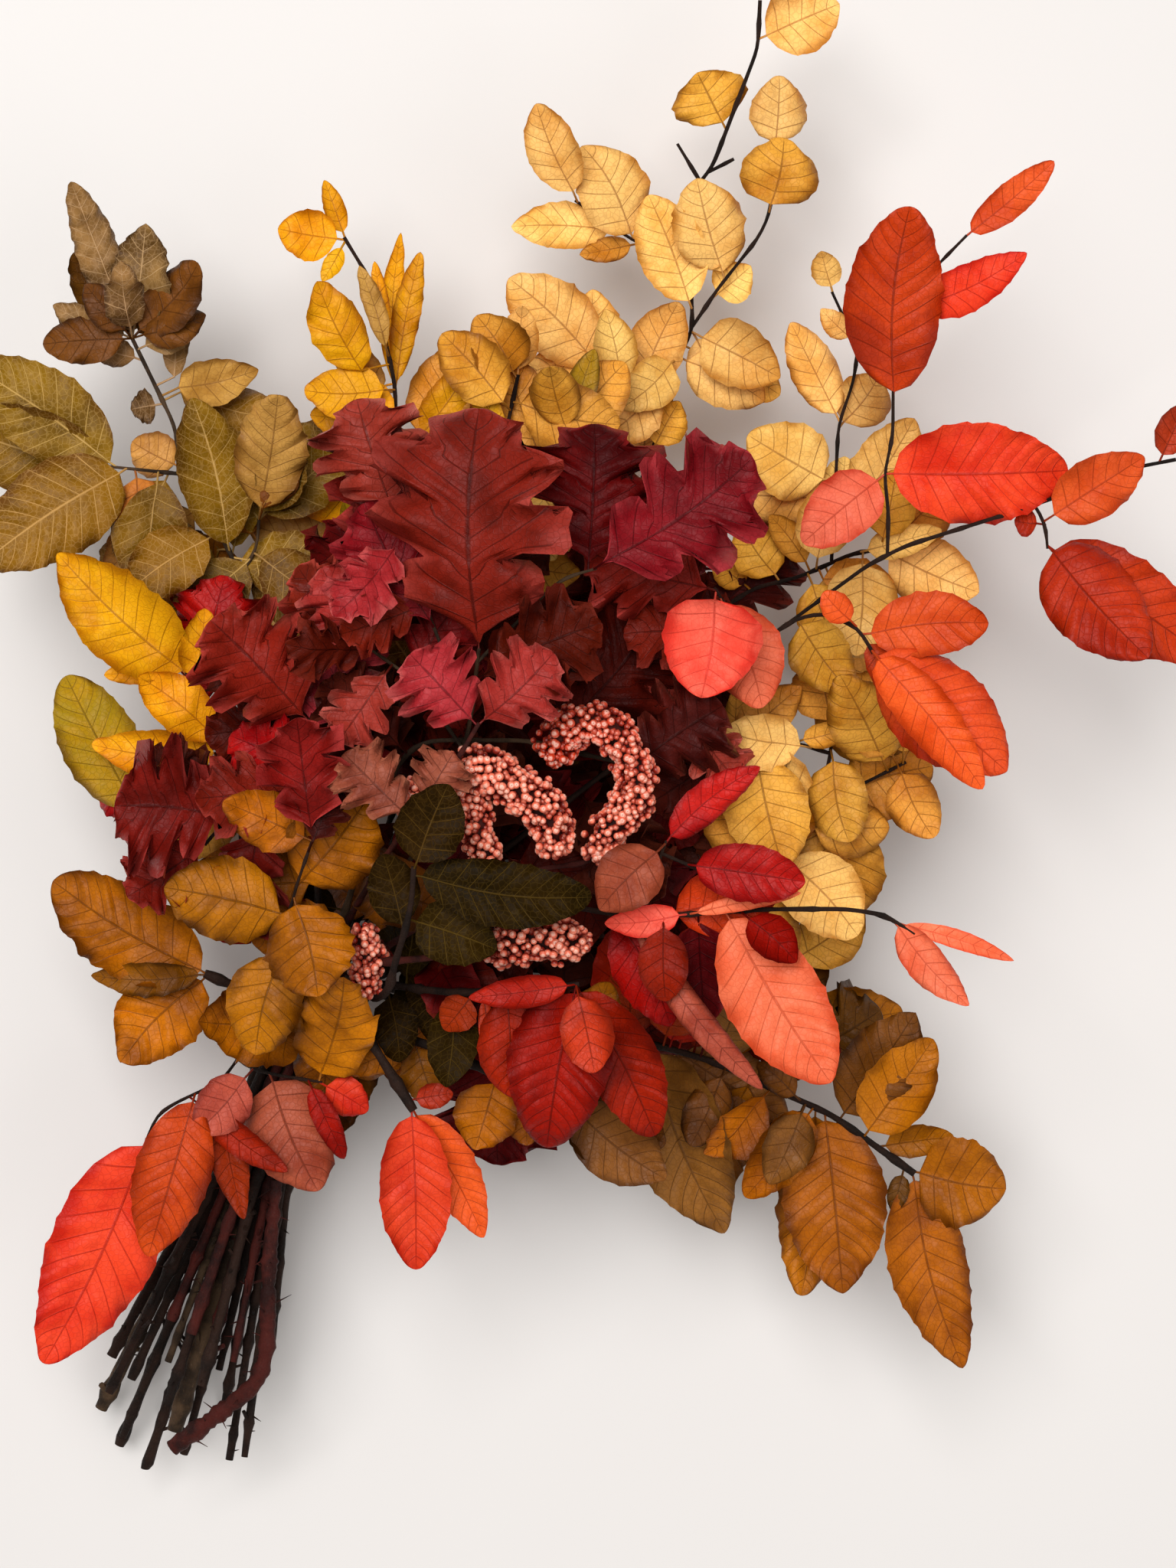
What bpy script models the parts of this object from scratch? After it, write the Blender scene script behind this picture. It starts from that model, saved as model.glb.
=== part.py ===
# Autumn leaf bouquet: cut beech and oak branches and berry heads in one bunch, laid on its back.
# The stems run from their cut ends at the lower left, side by side through the grip, and fan out.
# Lengths are in millimetres here and become metres when a mesh is made. +Z points up.
# Places are as they show from an eye straight above the grip, and trueSize() draws in what is nearer.

import math
import random

import bmesh
import bpy
from mathutils import Matrix, Vector
from mathutils.bvhtree import BVHTree

# View and frame
eyeDistance = 1000.0
gripHeight = 60.0
layCentre = (-7.3, 14.1)

# The bunch at the grip
gripPoint = Vector((-142.0, -150.0, gripHeight))
gripAxis = Vector((0.40, 0.917, 0.0))
gripSide = Vector((0.917, -0.40, 0.0))
gripHalfLength = 30.0
gripLead = 14.0
fanLength = 24.0
slotPitch = 5.6
slotRise = 5.1
stemRadius = 2.5
twigRadius = 1.5
twigStep = 0.1
tipRadius = 1.1
girthRange = (0.6, 1.2)
girthSeed = 700
stemSides = 6
twigSides = 3
stemSpacing = 9.0
stemSlack = 1.2
cutSpread = 0.012
cutDrift = 0.12
cutDrop = 0.25
lowestRow = -2
lowestCutHeight = 2.6

cutTaper = (10.0, 60.0)
fanEase = 0.85
fanTaper = 200.0

# Blades
bladeThickness = 0.8
smallWidth = 35.0
petioleHalfWidth = 0.6
petioleLength = 4.0
petioleSlope = 0.6
clearance = 0.75
freeShare = 0.2
flatAngle = 0.8
steepest = 62.0
lowestLeaf = 1.0
leastForward = 0.35
sizeShares = (1.0, 0.88, 0.75, 0.6)
tiltSteps = range(-56, 57, 8)
rollSteps = range(-48, 49, 16)
liftSteps = (0.0, -5.0, 5.0, 9.0)
beechStations = {"small": (0.0, 0.3, 0.7, 1.0), "large": (0.0, 0.22, 0.64, 1.0)}
oakStations = (0.0, 0.24, 0.34, 0.47, 0.59, 0.72, 0.83, 1.0)
oakHalfWidths = (0.05, 0.72, 0.52, 1.0, 0.68, 0.92, 0.6, 0.26)
oakSweep = 0.09
ruffles = {"oak": (0.22, 3.2), "beech": (0.10, 1.6)}
ruffleLag = 0.9
bowRange = (-0.04, 0.09)
foldRange = (-0.05, 0.30)
foldDrift = 0.12

# Berry heads
berryRise = 1.7
berryRings = 7.0
headSides = 8
headEndShare = 0.72
headRoomSpacing = 9.0

# Each branch: its row in the grip, how far its cut end lies below, its stem, twigs and leaves.
# A leaf is base x, base y, tip x, tip y, width and, where it matters, the tilt of its tip in degrees.
branches = [
    dict(name="back_branch_left", row=-2, cut=118, tilt=4, colour=(0.42, 0.24, 0.06),
         stem=[(-152, -60, 34), (-160, 20, 17), (-152, 90, 13), (-138, 132, 13)],
         twigs=[],
         resting=[(-158, 62, -204, 92, 44), (-148, 92, -112, 128, 42)],
         leaves=[(-162, 10, -118, 40, 40), (-160, 0, -196, -30, 38), (-140, 128, -152, 168, 36)]),
    dict(name="back_branch_top", row=-2, cut=150, tilt=4, colour=(0.45, 0.27, 0.06),
         stem=[(-88, -10, 32), (-62, 60, 16), (-38, 112, 13), (-22, 138, 13)],
         twigs=[],
         resting=[(-60, 62, -8, 58, 48)],
         leaves=[(-68, 40, -100, 84, 42), (-40, 108, -72, 144, 38), (-24, 134, 14, 150, 36)]),
    dict(name="back_branch_right", row=-2, cut=104, tilt=4, colour=(0.40, 0.20, 0.05),
         stem=[(-40, -48, 32), (32, -10, 17), (78, 28, 13), (100, 48, 13)],
         twigs=[],
         resting=[(52, 8, 66, -40, 44), (80, 32, 52, 76, 42)],
         leaves=[(20, -18, 2, 26, 38), (98, 46, 128, 72, 34)]),
    dict(name="back_branch_low", row=-2, cut=136, tilt=4, colour=(0.38, 0.22, 0.05),
         stem=[(-60, -98, 26), (-30, -106, 18), (6, -104, 13), (28, -100, 13)],
         twigs=[],
         resting=[(-30, -110, -58, -66, 44), (10, -102, 34, -144, 38)],
         leaves=[(-52, -112, -84, -72, 34), (26, -100, 62, -84, 34)]),
    dict(name="olive_beech_branch", row=-1, cut=158, tilt=8, colour=(0.24, 0.16, 0.03),
         stem=[(-152, 20, 78), (-160, 78, 84), (-163, 104, 88), (-172, 118, 89), (-185, 138, 91),
               (-190, 165, 93), (-203, 190, 96), (-210, 206, 98)],
         twigs=[[(-187, 142, 91), (-211, 144, 94), (-222, 146, 96)],
                [(-160, 94, 87), (-152, 108, 92), (-151, 123, 96)]],
         leaves=[(-151, 123, -133, 164, 28), (-163, 104, -112, 95, 32), (-162, 108, -182, 178, 35),
                 (-168, 75, -198, 127, 28), (-216, 149, -288, 195, 40), (-221, 145, -290, 165, 40, -6),
                 (-212, 143, -280, 100, 45), (-186, 145, -209, 157, 22), (-208, 145, -201, 108, 25),
                 (-190, 187, -189, 231, 13), (-188, 182, -152, 190, 22), (-187, 180, -136, 167, 24),
                 (-192, 176, -210, 172, 16), (-208, 212, -203, 258, 28), (-210, 205, -238, 278, 20),
                 (-212, 205, -246, 220, 16), (-203, 195, -228, 203, 14), (-162, 106, -150, 158, 16),
                 (-172, 70, -203, 98, 18)]),
    dict(name="yellow_beech_branch", row=-1, cut=170, tilt=8, colour=(0.60, 0.30, 0.02),
         stem=[(-104, 80, 74), (-88, 172, 80), (-92, 200, 84), (-101, 233, 86), (-112, 251, 88)],
         twigs=[],
         leaves=[(-104, 190, -125, 232, 25), (-93, 183, -112, 160, 25), (-95, 180, -118, 210, 18),
                 (-95, 200, -98, 240, 8), (-90, 182, -77, 244, 13), (-90, 180, -86, 253, 12),
                 (-97, 195, -105, 238, 10), (-112, 250, -122, 231, 9), (-114, 252, -142, 255, 24),
                 (-114, 252, -121, 277, 10), (-102, 84, -112, 130, 14)]),
    dict(name="golden_beech_branch_top", row=-1, cut=146, tilt=8, colour=(0.62, 0.36, 0.12),
         stem=[(-30, 40, 62), (29, 150, 66), (36, 185, 68), (48, 208, 69), (47, 235, 69), (48, 262, 71),
               (50, 275, 72), (57, 283, 73), (63, 300, 75), (70, 320, 77), (78, 338, 79), (79, 360, 80)],
         twigs=[[(48, 210, 69), (60, 228, 74), (82, 258, 79), (86, 292, 82)],
                [(32, 165, 67), (20, 178, 70), (5, 192, 73)],
                [(46, 224, 69), (30, 245, 72), (20, 250, 74), (-6, 268, 77)],
                [(50, 278, 72), (41, 294, 73)], [(55, 281, 73), (67, 287, 74)]],
         leaves=[(47, 218, 28, 270, 32), (62, 232, 50, 278, 34), (24, 180, 42, 222, 27),
                 (18, 183, 8, 218, 20), (5, 193, -36, 232, 34), (22, 250, -2, 293, 34),
                 (12, 252, -35, 256, 22), (-8, 270, -24, 313, 24), (22, 245, -4, 243, 12),
                 (57, 222, 75, 238, 20), (51, 206, 65, 180, 22), (3, 194, -30, 188, 18),
                 (14, 183, 12, 162, 16), (31, 152, 42, 176, 20), (86, 292, 88, 325, 26),
                 (64, 300, 50, 327, 36), (84, 262, 90, 296, 36), (79, 342, 115, 358, 32)]),
    dict(name="golden_beech_branch_right", row=-1, cut=132, tilt=8, colour=(0.62, 0.34, 0.10),
         stem=[(0, 30, 66), (76, 90, 74), (90, 93, 75), (105, 98, 76), (122, 106, 78), (136, 108, 80)],
         twigs=[[(112, 101, 77), (114, 130, 79), (115, 165, 82), (122, 185, 84), (124, 200, 85),
                 (118, 215, 87), (112, 226, 88)]],
         leaves=[(114, 167, 93, 212, 22), (115, 163, 134, 188, 26), (108, 140, 74, 160, 36),
                 (120, 122, 150, 168, 30), (88, 93, 70, 120, 24), (108, 94, 140, 92, 20),
                 (114, 126, 118, 150, 20), (100, 102, 83, 124, 14), (124, 110, 163, 117, 15),
                 (124, 203, 107, 218, 12), (112, 228, 107, 245, 14), (74, 90, 57, 106, 15)]),
    dict(name="gold_brown_beech_branch", row=-1, cut=112, tilt=6, colour=(0.50, 0.26, 0.06),
         stem=[(-10, -64, 80), (85, -35, 92), (106, -10, 94), (110, 5, 95), (112, 20, 96),
               (113, 35, 97)],
         twigs=[[(106, -10, 94), (120, -3, 95), (146, 10, 96)],
                [(111, 14, 95), (92, 20, 97), (84, 15, 98), (65, 18, 99)]],
         leaves=[(85, -34, 82, 15, 38), (113, 25, 106, 60, 33), (116, -5, 158, 8, 40),
                 (100, -20, 138, -20, 28), (88, -30, 100, -5, 20), (66, 18, 98, 45, 22),
                 (95, 19, 122, 28, 12), (64, 20, 68, 43, 10), (64, 16, 38, -8, 16)]),
    dict(name="brown_oak_branch", row=-1, cut=92, tilt=4, colour=(0.26, 0.14, 0.03),
         stem=[(-60, -96, 58), (20, -106, 61), (60, -106, 64), (90, -124, 66)],
         twigs=[[(62, -107, 64), (82, -92, 68), (95, -80, 70)]],
         leaves=[(92, -126, 134, -104, 45, 4, "oak"), (93, -84, 127, -58, 28), (45, -104, 58, -66, 26),
                 (74, -112, 60, -140, 24)]),
    dict(name="yellow_beech_branch_left", row=0, cut=166, tilt=8, colour=(0.60, 0.32, 0.02),
         stem=[(-160, -20, 92), (-168, 20, 99), (-172, 30, 101), (-180, 45, 104), (-186, 55, 106)],
         twigs=[[(-163, -6, 94), (-188, -14, 90), (-208, -14, 88)]],
         leaves=[(-186, 48, -244, 106, 40), (-170, 18, -207, 50, 25), (-172, 14, -227, 18, 24),
                 (-184, 58, -222, 50, 12), (-178, 46, -176, 80, 20), (-210, -15, -240, 50, 36, -4)]),
    dict(name="yellow_beech_branch_middle", row=0, cut=176, tilt=6, colour=(0.52, 0.28, 0.02),
         stem=[(-70, 20, 90), (-45, 130, 104), (-38, 160, 106), (-32, 188, 108)],
         twigs=[[(-48, 124, 103), (-66, 144, 105), (-80, 158, 106)],
                [(-43, 136, 104), (-22, 148, 105), (-8, 160, 106)]],
         leaves=[(-22, 149, -37, 197, 28), (-40, 156, -55, 190, 12), (-8, 160, 3, 200, 15),
                 (-32, 186, -51, 215, 28), (-32, 190, -30, 220, 18), (-80, 158, -54, 192, 20)]),
    dict(name="red_beech_branch_upper", row=0, cut=162, tilt=8, colour=(0.68, 0.06, 0.02),
         stem=[(40, 30, 104), (88, 71, 113), (120, 94, 116), (137, 106, 117), (155, 112, 118),
               (205, 128, 121), (256, 147, 124), (270, 149, 125)],
         twigs=[[(137, 106, 117), (138, 125, 118), (136, 142, 119), (140, 160, 119), (141, 200, 118),
                 (148, 220, 118), (165, 244, 122), (174, 252, 125)],
                [(205, 128, 121), (210, 120, 121), (211, 108, 121)]],
         leaves=[(136, 142, 99, 111, 30), (138, 142, 219, 144, 47), (147, 217, 202, 244, 22, 20),
                 (141, 176, 148, 267, 45, 14), (210, 121, 255, 150, 28), (209, 119, 196, 121, 13),
                 (211, 108, 258, 57, 42), (211, 108, 284, 58, 40, -4), (173, 252, 214, 286, 16),
                 (262, 148, 275, 175, 16)]),
    dict(name="brown_beech_branch", row=0, cut=128, tilt=2, colour=(0.46, 0.18, 0.03),
         stem=[(-40, -122, 80), (32, -120, 88), (80, -137, 90), (103, -148, 91), (112, -152, 91),
               (125, -162, 91), (150, -179, 92)],
         twigs=[],
         leaves=[(108, -152, 117, -234, 48), (103, -150, 72, -190, 25), (104, -150, 98, -234, 35, -8),
                 (148, -178, 192, -186, 42), (133, -166, 168, -162, 15), (150, -180, 172, -268, 36),
                 (145, -176, 140, -197, 10), (40, -122, 92, -155, 35), (28, -122, 63, -207, 45, -4),
                 (98, -146, 78, -128, 14)]),
    dict(name="red_beech_branch_lower_left", row=1, cut=134, tilt=2, colour=(0.62, 0.08, 0.05),
         stem=[],
         twigs=[[(-143, -114, 65), (-154, -119, 67), (-161, -126, 80), (-168, -136, 98),
                 (-180, -142, 106), (-198, -152, 110),
                 (-203, -164, 110)],
                [(-161, -126, 80), (-154, -131, 95), (-136, -135, 101), (-122, -137, 102)]],
         leaves=[(-183, -144, -138, -178, 14), (-154, -131, -180, -160, 25, 12),
                 (-145, -128, -124, -187, 42, 8),
                 (-203, -164, -250, -266, 50), (-180, -143, -202, -217, 35),
                 (-168, -138, -158, -200, 18),
                 (-122, -136, -101, -150, 18), (-128, -133, -112, -172, 12)]),
    dict(name="burgundy_oak_branch_left", row=1, cut=140, tilt=6, kind="oak", colour=(0.24, 0.02, 0.03),
         stem=[(-124, -30, 126), (-125, 5, 134), (-128, 30, 138)],
         twigs=[[(-124, -24, 127), (-145, -18, 133), (-165, -15, 135), (-176, -28, 133)]],
         leaves=[(-128, 30, -174, 76, 58), (-165, -15, -218, -10, 66), (-126, 2, -164, 22, 36),
                 (-122, 22, -110, 76, 44), (-176, -28, -212, -52, 34), (-124, -10, -98, 26, 38)]),
    dict(name="burgundy_oak_branch_inner", row=1, cut=126, tilt=0, kind="oak", colour=(0.10, 0.012, 0.015),
         stem=[(-80, 17, 140), (-55, 20, 145), (-28, 20, 145), (0, 14, 141), (22, 8, 138)],
         twigs=[],
         leaves=[(22, 8, 62, 36, 50), (-20, 19, 32, 78, 56), (-84, 10, -120, 6, 36),
                 (-56, 20, -74, 62, 40)]),
    dict(name="burgundy_oak_branch_top", row=1, cut=154, tilt=8, kind="oak", colour=(0.26, 0.02, 0.035),
         stem=[(-62, 0, 146), (-52, 40, 165), (-50, 62, 173)],
         twigs=[[(-51, 56, 172), (-30, 78, 173), (-10, 95, 173), (4, 99, 173)],
                [(-55, 30, 166), (-74, 80, 160), (-90, 126, 158)],
                [(-57, 16, 163), (-80, 48, 154), (-100, 62, 150)]],
         leaves=[(-50, 62, -50, 172, 92), (0, 98, 3, 164, 68), (4, 98, 76, 150, 62),
                 (-90, 126, -106, 176, 56), (-100, 62, -122, 99, 40), (-48, 48, 6, 74, 48)]),
    dict(name="red_beech_branch_right", row=1, cut=120, tilt=8, colour=(0.70, 0.07, 0.03),
         stem=[(40, 30, 132), (100, 78, 139), (115, 77, 140), (124, 72, 141), (131, 60, 142)],
         twigs=[[(66, 51, 136), (66, 78, 144), (58, 90, 148)]],
         leaves=[(128, 70, 185, 74, 30), (124, 66, 155, 22, 18), (131, 62, 192, 6, 45),
                 (131, 58, 181, -2, 25),
                 (124, 74, 108, 88, 14), (52, 90, 52, 40, 46), (64, 88, 80, 35, 34)]),
    dict(name="red_beech_branch_lower_right", row=1, cut=156, tilt=4, colour=(0.66, 0.06, 0.03),
         stem=[(-44, -58, 116), (-4, -57, 138), (20, -61, 151), (44, -60, 156), (98, -57, 158),
               (136, -60, 158), (150, -69, 157)],
         twigs=[[(20, -61, 154), (30, -42, 158), (36, -26, 160)], [(34, -32, 159), (50, -38, 160),
                 (62, -44, 160)]],
         leaves=[(46, -60, 8, -64, 15), (46, -59, 98, -50, 8), (63, -60, 112, -138, 45),
                 (70, -59, 96, -82, 20),
                 (20, -62, 80, -140, 14), (12, -62, 38, -111, 32), (140, -62, 175, -102, 18),
                 (142, -63, 195, -81, 9), (46, -36, 100, -45, 27), (38, -24, 79, 8, 18),
                 (36, -27, 5, -58, 30)]),
    dict(name="ochre_beech_branch_low", row=1, cut=98, tilt=2, colour=(0.44, 0.18, 0.02),
         stem=[(-92, -114, 84), (-76, -119, 100), (-58, -126, 110), (-40, -135, 114), (-8, -147, 114)],
         twigs=[],
         leaves=[(-94, -112, -66, -134, 32, -10), (-80, -118, -112, -132, 15),
                 (-80, -118, -70, -148, 22),
                 (-42, -134, -52, -168, 30), (-30, -139, -28, -166, 20), (-8, -147, 15, -173, 25),
                 (-96, -114, -113, -160, 18)]),
    dict(name="ochre_beech_branch_left", row=2, cut=150, tilt=4, colour=(0.50, 0.20, 0.02),
         stem=[(-150, -95, 98), (-162, -93, 104), (-176, -87, 107)],
         twigs=[[(-137, -99, 76), (-140, -82, 112), (-136, -54, 148), (-126, -24, 156)]],
         leaves=[(-133, -48, -102, -8, 44), (-127, -26, -168, -8, 27), (-134, -52, -124, -98, 42),
                 (-174, -87, -245, -45, 42), (-176, -88, -215, -128, 38), (-176, -88, -228, -88, 16),
                 (-136, -66, -172, -38, 14), (-148, -98, -163, -120, 20)]),
    dict(name="burgundy_oak_branch_centre", row=2, cut=108, tilt=4, kind="oak", colour=(0.30, 0.03, 0.05),
         stem=[(-84, -20, 172), (-62, 8, 184), (-50, 28, 190)],
         twigs=[],
         leaves=[(-50, 28, -82, 60, 44), (-50, 28, -16, 60, 42), (-82, -16, -112, 14, 36),
                 (-78, -12, -62, 14, 30)]),
    dict(name="dark_green_branch", row=2, cut=144, tilt=2, colour=(0.035, 0.035, 0.012),
         stem=[(-98, -98, 116), (-91, -93, 148), (-87, -75, 172), (-82, -62, 180), (-80, -38, 186)],
         twigs=[],
         leaves=[(-80, -42, 2, -52, 31), (-80, -38, -64, 0, 32), (-82, -62, -42, -76, 30),
                 (-86, -68, -94, -32, 24)]),
    dict(name="berry_branch_left", row=2, cut=122, tilt=0, colour=(0.80, 0.36, 0.28),
         stem=[(-70, -60, 150), (-52, -44, 156)],
         twigs=[],
         heads=[((-82, -10, 162), (-68, -3, 166), (-60, 0, 168), (-52, 8, 169), (-40, 2, 169),
                  (-28, -5, 168),
                 (-18, -15, 166), (-15, -28, 163), 9.6),
                ((-52, -44, 156), (-46, -36, 160), (-50, -25, 162), (-51, -12, 163), (-58, -2, 165), 6.6)],
         leaves=[]),
    dict(name="berry_branch_right", row=2, cut=114, tilt=0, colour=(0.66, 0.16, 0.10),
         stem=[(-34, -42, 142), (4, -34, 152), (7, -26, 156)],
         twigs=[],
         heads=[((-15, 13, 158), (-12, 24, 160), (0, 28, 161), (10, 25, 161), (18, 15, 161), (22, 5, 160),
                 (22, -5, 159), (16, -14, 158), (8, -24, 157), (6, -32, 155), 8.6)],
         leaves=[]),
    dict(name="red_beech_branch_lower_centre", row=2, cut=152, tilt=0, colour=(0.50, 0.04, 0.02),
         stem=[(-60, -96, 142), (-30, -94, 156), (-4, -92, 160)],
         twigs=[],
         leaves=[(-4, -92, -54, -98, 15, 8), (-5, -93, -19, -167, 48), (-5, -92, 31, -162, 34, -6),
                 (-52, -95, -66, -113, 18), (-48, -95, -45, -127, 8)]),
    dict(name="berry_branch_low", row=3, cut=110, tilt=0, colour=(0.72, 0.24, 0.18),
         stem=[(-122, -92, 104), (-108, -84, 126), (-98, -82, 134), (-74, -80, 146), (-42, -74, 150)],
         twigs=[],
         heads=[((-104, -94, 128), (-101, -84, 132), (-103, -68, 138), 6.6),
                ((-44, -74, 150), (-32, -72, 154), (-4, -72, 156), 9.6)],
         leaves=[]),
    dict(name="red_beech_branch_hanging", row=3, cut=130, tilt=0, colour=(0.66, 0.08, 0.02),
         stem=[(-112, -104, 104), (-98, -121, 114), (-86, -140, 114), (-80, -150, 115)],
         twigs=[],
         leaves=[(-82, -149, -79, -223, 33), (-81, -149, -48, -208, 25, -6),
                 (-84, -146, -62, -142, 12)]),
]


# Frame and paths


def trueSize(point):
    """Move a point from where it shows to where it is, in metres."""
    shrink = 1.0 - (point[2] - gripHeight) / eyeDistance
    return Vector((point[0] * shrink - layCentre[0], point[1] * shrink - layCentre[1], point[2])) * 0.001


def smoothPath(points, spacing):
    """Points about a spacing apart on a centripetal curve through the given points."""
    knots = [Vector(p) for p in points]
    knots = [knots[0] * 2 - knots[1]] + knots + [knots[-1] * 2 - knots[-2]]
    path = []
    for i in range(1, len(knots) - 2):
        p0, p1, p2, p3 = knots[i - 1:i + 3]
        t1 = (p1 - p0).length ** 0.5
        t2 = t1 + (p2 - p1).length ** 0.5
        t3 = t2 + (p3 - p2).length ** 0.5
        steps = max(1, round((p2 - p1).length / spacing))
        for k in range(steps):
            t = t1 + (t2 - t1) * k / steps
            a1 = p0 * ((t1 - t) / t1) + p1 * (t / t1)
            a2 = p1 * ((t2 - t) / (t2 - t1)) + p2 * ((t - t1) / (t2 - t1))
            a3 = p2 * ((t3 - t) / (t3 - t2)) + p3 * ((t - t2) / (t3 - t2))
            b1 = a1 * ((t2 - t) / t2) + a2 * (t / t2)
            b2 = a2 * ((t3 - t) / (t3 - t1)) + a3 * ((t - t1) / (t3 - t1))
            path.append(b1 * ((t2 - t) / (t2 - t1)) + b2 * ((t - t1) / (t2 - t1)))
    path.append(knots[-2])
    return path


def stemPoints(branch):
    """A main stem's points: its cut end, the two ends of its slot in the grip, and its fan."""
    rowMates = [other["name"] for other in branches if other["row"] == branch["row"]]
    column = rowMates.index(branch["name"]) - (len(rowMates) - 1) / 2
    side = gripSide * (column * slotPitch)
    rise = Vector((0.0, 0.0, branch["row"] * slotRise))
    low = gripPoint - gripAxis * gripHalfLength + side + rise
    high = gripPoint + gripAxis * gripHalfLength + side + rise
    below = branch["cut"] - gripHalfLength
    cutEnd = low - gripAxis * below + (side + rise) * cutSpread * below + gripSide * cutDrift * below
    cutEnd.z = lowestCutHeight if branch["row"] == lowestRow else cutEnd.z - cutDrop * below
    points = [high, high + gripAxis * gripLead]
    fan = [Vector(p) for p in branch["stem"]]
    if fan and (fan[0] - points[-1]).length > 2 * fanLength:
        toFan = (fan[0] - points[-1]).normalized()
        points.append(points[-1] + (gripAxis * fanEase + toFan * (1 - fanEase)) * fanLength)
    return cutEnd, low, points + fan


def straightened(path, slack):
    """The fewest points of a path that stay within the slack of it."""
    start, end = path[0], path[-1]
    along = (end - start).normalized()
    offsets = [((p - start) - along * (p - start).dot(along)).length for p in path]
    worst = max(range(len(path)), key=lambda k: offsets[k])
    if offsets[worst] <= slack:
        return [start, end]
    return straightened(path[:worst + 1], slack)[:-1] + straightened(path[worst:], slack)


def branchTubes(branch):
    """Path and end radii of a branch's stem and twigs, each twig starting on what carries it."""
    cutEnd, low, fan = stemPoints(branch)
    stem = [cutEnd, low] + straightened(smoothPath(fan, stemSpacing), stemSlack)
    tubes = [(stem, stemRadius, twigRadius)]
    for twig in branch["twigs"]:
        start = nearestOnTubes(tubes, twig[0][0], twig[0][1])
        path = straightened(smoothPath([start] + list(twig[1:]), stemSpacing), stemSlack)
        tubes.append((path, twigRadius - twigStep, tipRadius))
    return tubes


# Meshes


def tubeMesh(path, radii, sides):
    """A closed tube along a path, with flat ends."""
    verts = []
    faces = []
    count = len(path)
    for i, point in enumerate(path):
        ahead = (path[min(i + 1, count - 1)] - path[max(i - 1, 0)]).normalized()
        across = Vector((ahead.y, -ahead.x, 0.0)).normalized()
        over = across.cross(ahead)
        for k in range(sides):
            angle = 2 * math.pi * k / sides
            verts.append(point + (across * math.cos(angle) + over * math.sin(angle)) * radii[i])
    for i in range(count - 1):
        for k in range(sides):
            a = i * sides + k
            b = i * sides + (k + 1) % sides
            faces += [(a, b, b + sides), (a, b + sides, a + sides)]
    for k in range(1, sides - 1):
        faces.append((0, k + 1, k))
        last = (count - 1) * sides
        faces.append((last, last + k, last + k + 1))
    return verts, faces


def halfWidthShare(kind, u):
    """Half width of a blade at u, from 0 at its base to 1 at its tip, as a share of the widest."""
    if kind == "oak":
        for i in range(len(oakStations) - 1):
            if u <= oakStations[i + 1]:
                part = (u - oakStations[i]) / (oakStations[i + 1] - oakStations[i])
                return oakHalfWidths[i] + (oakHalfWidths[i + 1] - oakHalfWidths[i]) * part
    return math.sin(math.pi * min(u, 1.0) ** 0.85) ** 0.75 if 0.0 < u < 1.0 else 0.0


def bladePoint(pose, u, v, grow=0.0):
    """A point of a blade's middle surface, v running from -1 at one edge to 1 at the other."""
    half = max(pose["halfWidth"] * halfWidthShare(pose["kind"], u), petioleHalfWidth) + grow
    side = abs(v) * half
    turn = 2 * math.pi * pose["waves"] * u + pose["phase"] + (ruffleLag if v > 0 else 0.0)
    rise = pose["bow"] * pose["length"] * 4 * u * (1 - u)
    rise += side * (pose["foldLeft"] if v < 0 else pose["foldRight"])
    rise += side * v * v * pose["ruffle"] * math.sin(turn)
    along = pose["length"] * u
    if pose["kind"] == "oak":
        along += oakSweep * pose["length"] * side / pose["halfWidth"]
    return pose["base"] + pose["ahead"] * along + pose["across"] * (half * v) + pose["normal"] * rise


def bladeMesh(pose, grow=0.0, first=0.0):
    """A closed thin blade with its petiole, or only its part from the station first outwards."""
    if pose["kind"] == "oak":
        stations = oakStations
    else:
        stations = beechStations[pose["size"]]
    columns = (-1.0, 1.0) if pose["size"] == "small" and pose["kind"] == "beech" else (-1.0, 0.0, 1.0)
    stations = [first] + [u for u in stations if u > first]
    rows = []
    if first == 0.0:
        reach = pose["base"] - pose["root"]
        aside = Vector((reach.y, -reach.x, 0.0)).normalized()
        if aside.dot(pose["across"]) < 0.2:
            aside = pose["across"]
        rows.append([pose["root"] + aside * (petioleHalfWidth + grow) * v for v in columns])
    for u in stations:
        rows.append([bladePoint(pose, u, v, grow) for v in columns])
    if grow:
        for k in range(len(columns)):
            rows[-1][k] = rows[-1][k] + pose["ahead"] * grow
    lift = pose["normal"] * (bladeThickness / 2 + grow)
    verts = [p + lift for row in rows for p in row] + [p - lift for row in rows for p in row]
    width = len(columns)
    below = len(rows) * width
    faces = []
    for i in range(len(rows) - 1):
        for j in range(width - 1):
            a = i * width + j
            b, c, d = a + 1, a + 1 + width, a + width
            faces += [(a, b, c), (a, c, d)]
            faces += [(below + a, below + c, below + b), (below + a, below + d, below + c)]
        for edge in (0, width - 1):
            a = i * width + edge
            c = a + width
            rim = [(a, c, below + c), (a, below + c, below + a)]
            faces += rim if edge == 0 else [tuple(reversed(f)) for f in rim]
    for j in range(width - 1):
        a = j
        faces += [(a, below + a, below + a + 1), (a, below + a + 1, a + 1)]
        a = (len(rows) - 1) * width + j
        faces += [(a, a + 1, below + a + 1), (a, below + a + 1, below + a)]
    return verts, faces


# Placing the leaves


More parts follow.
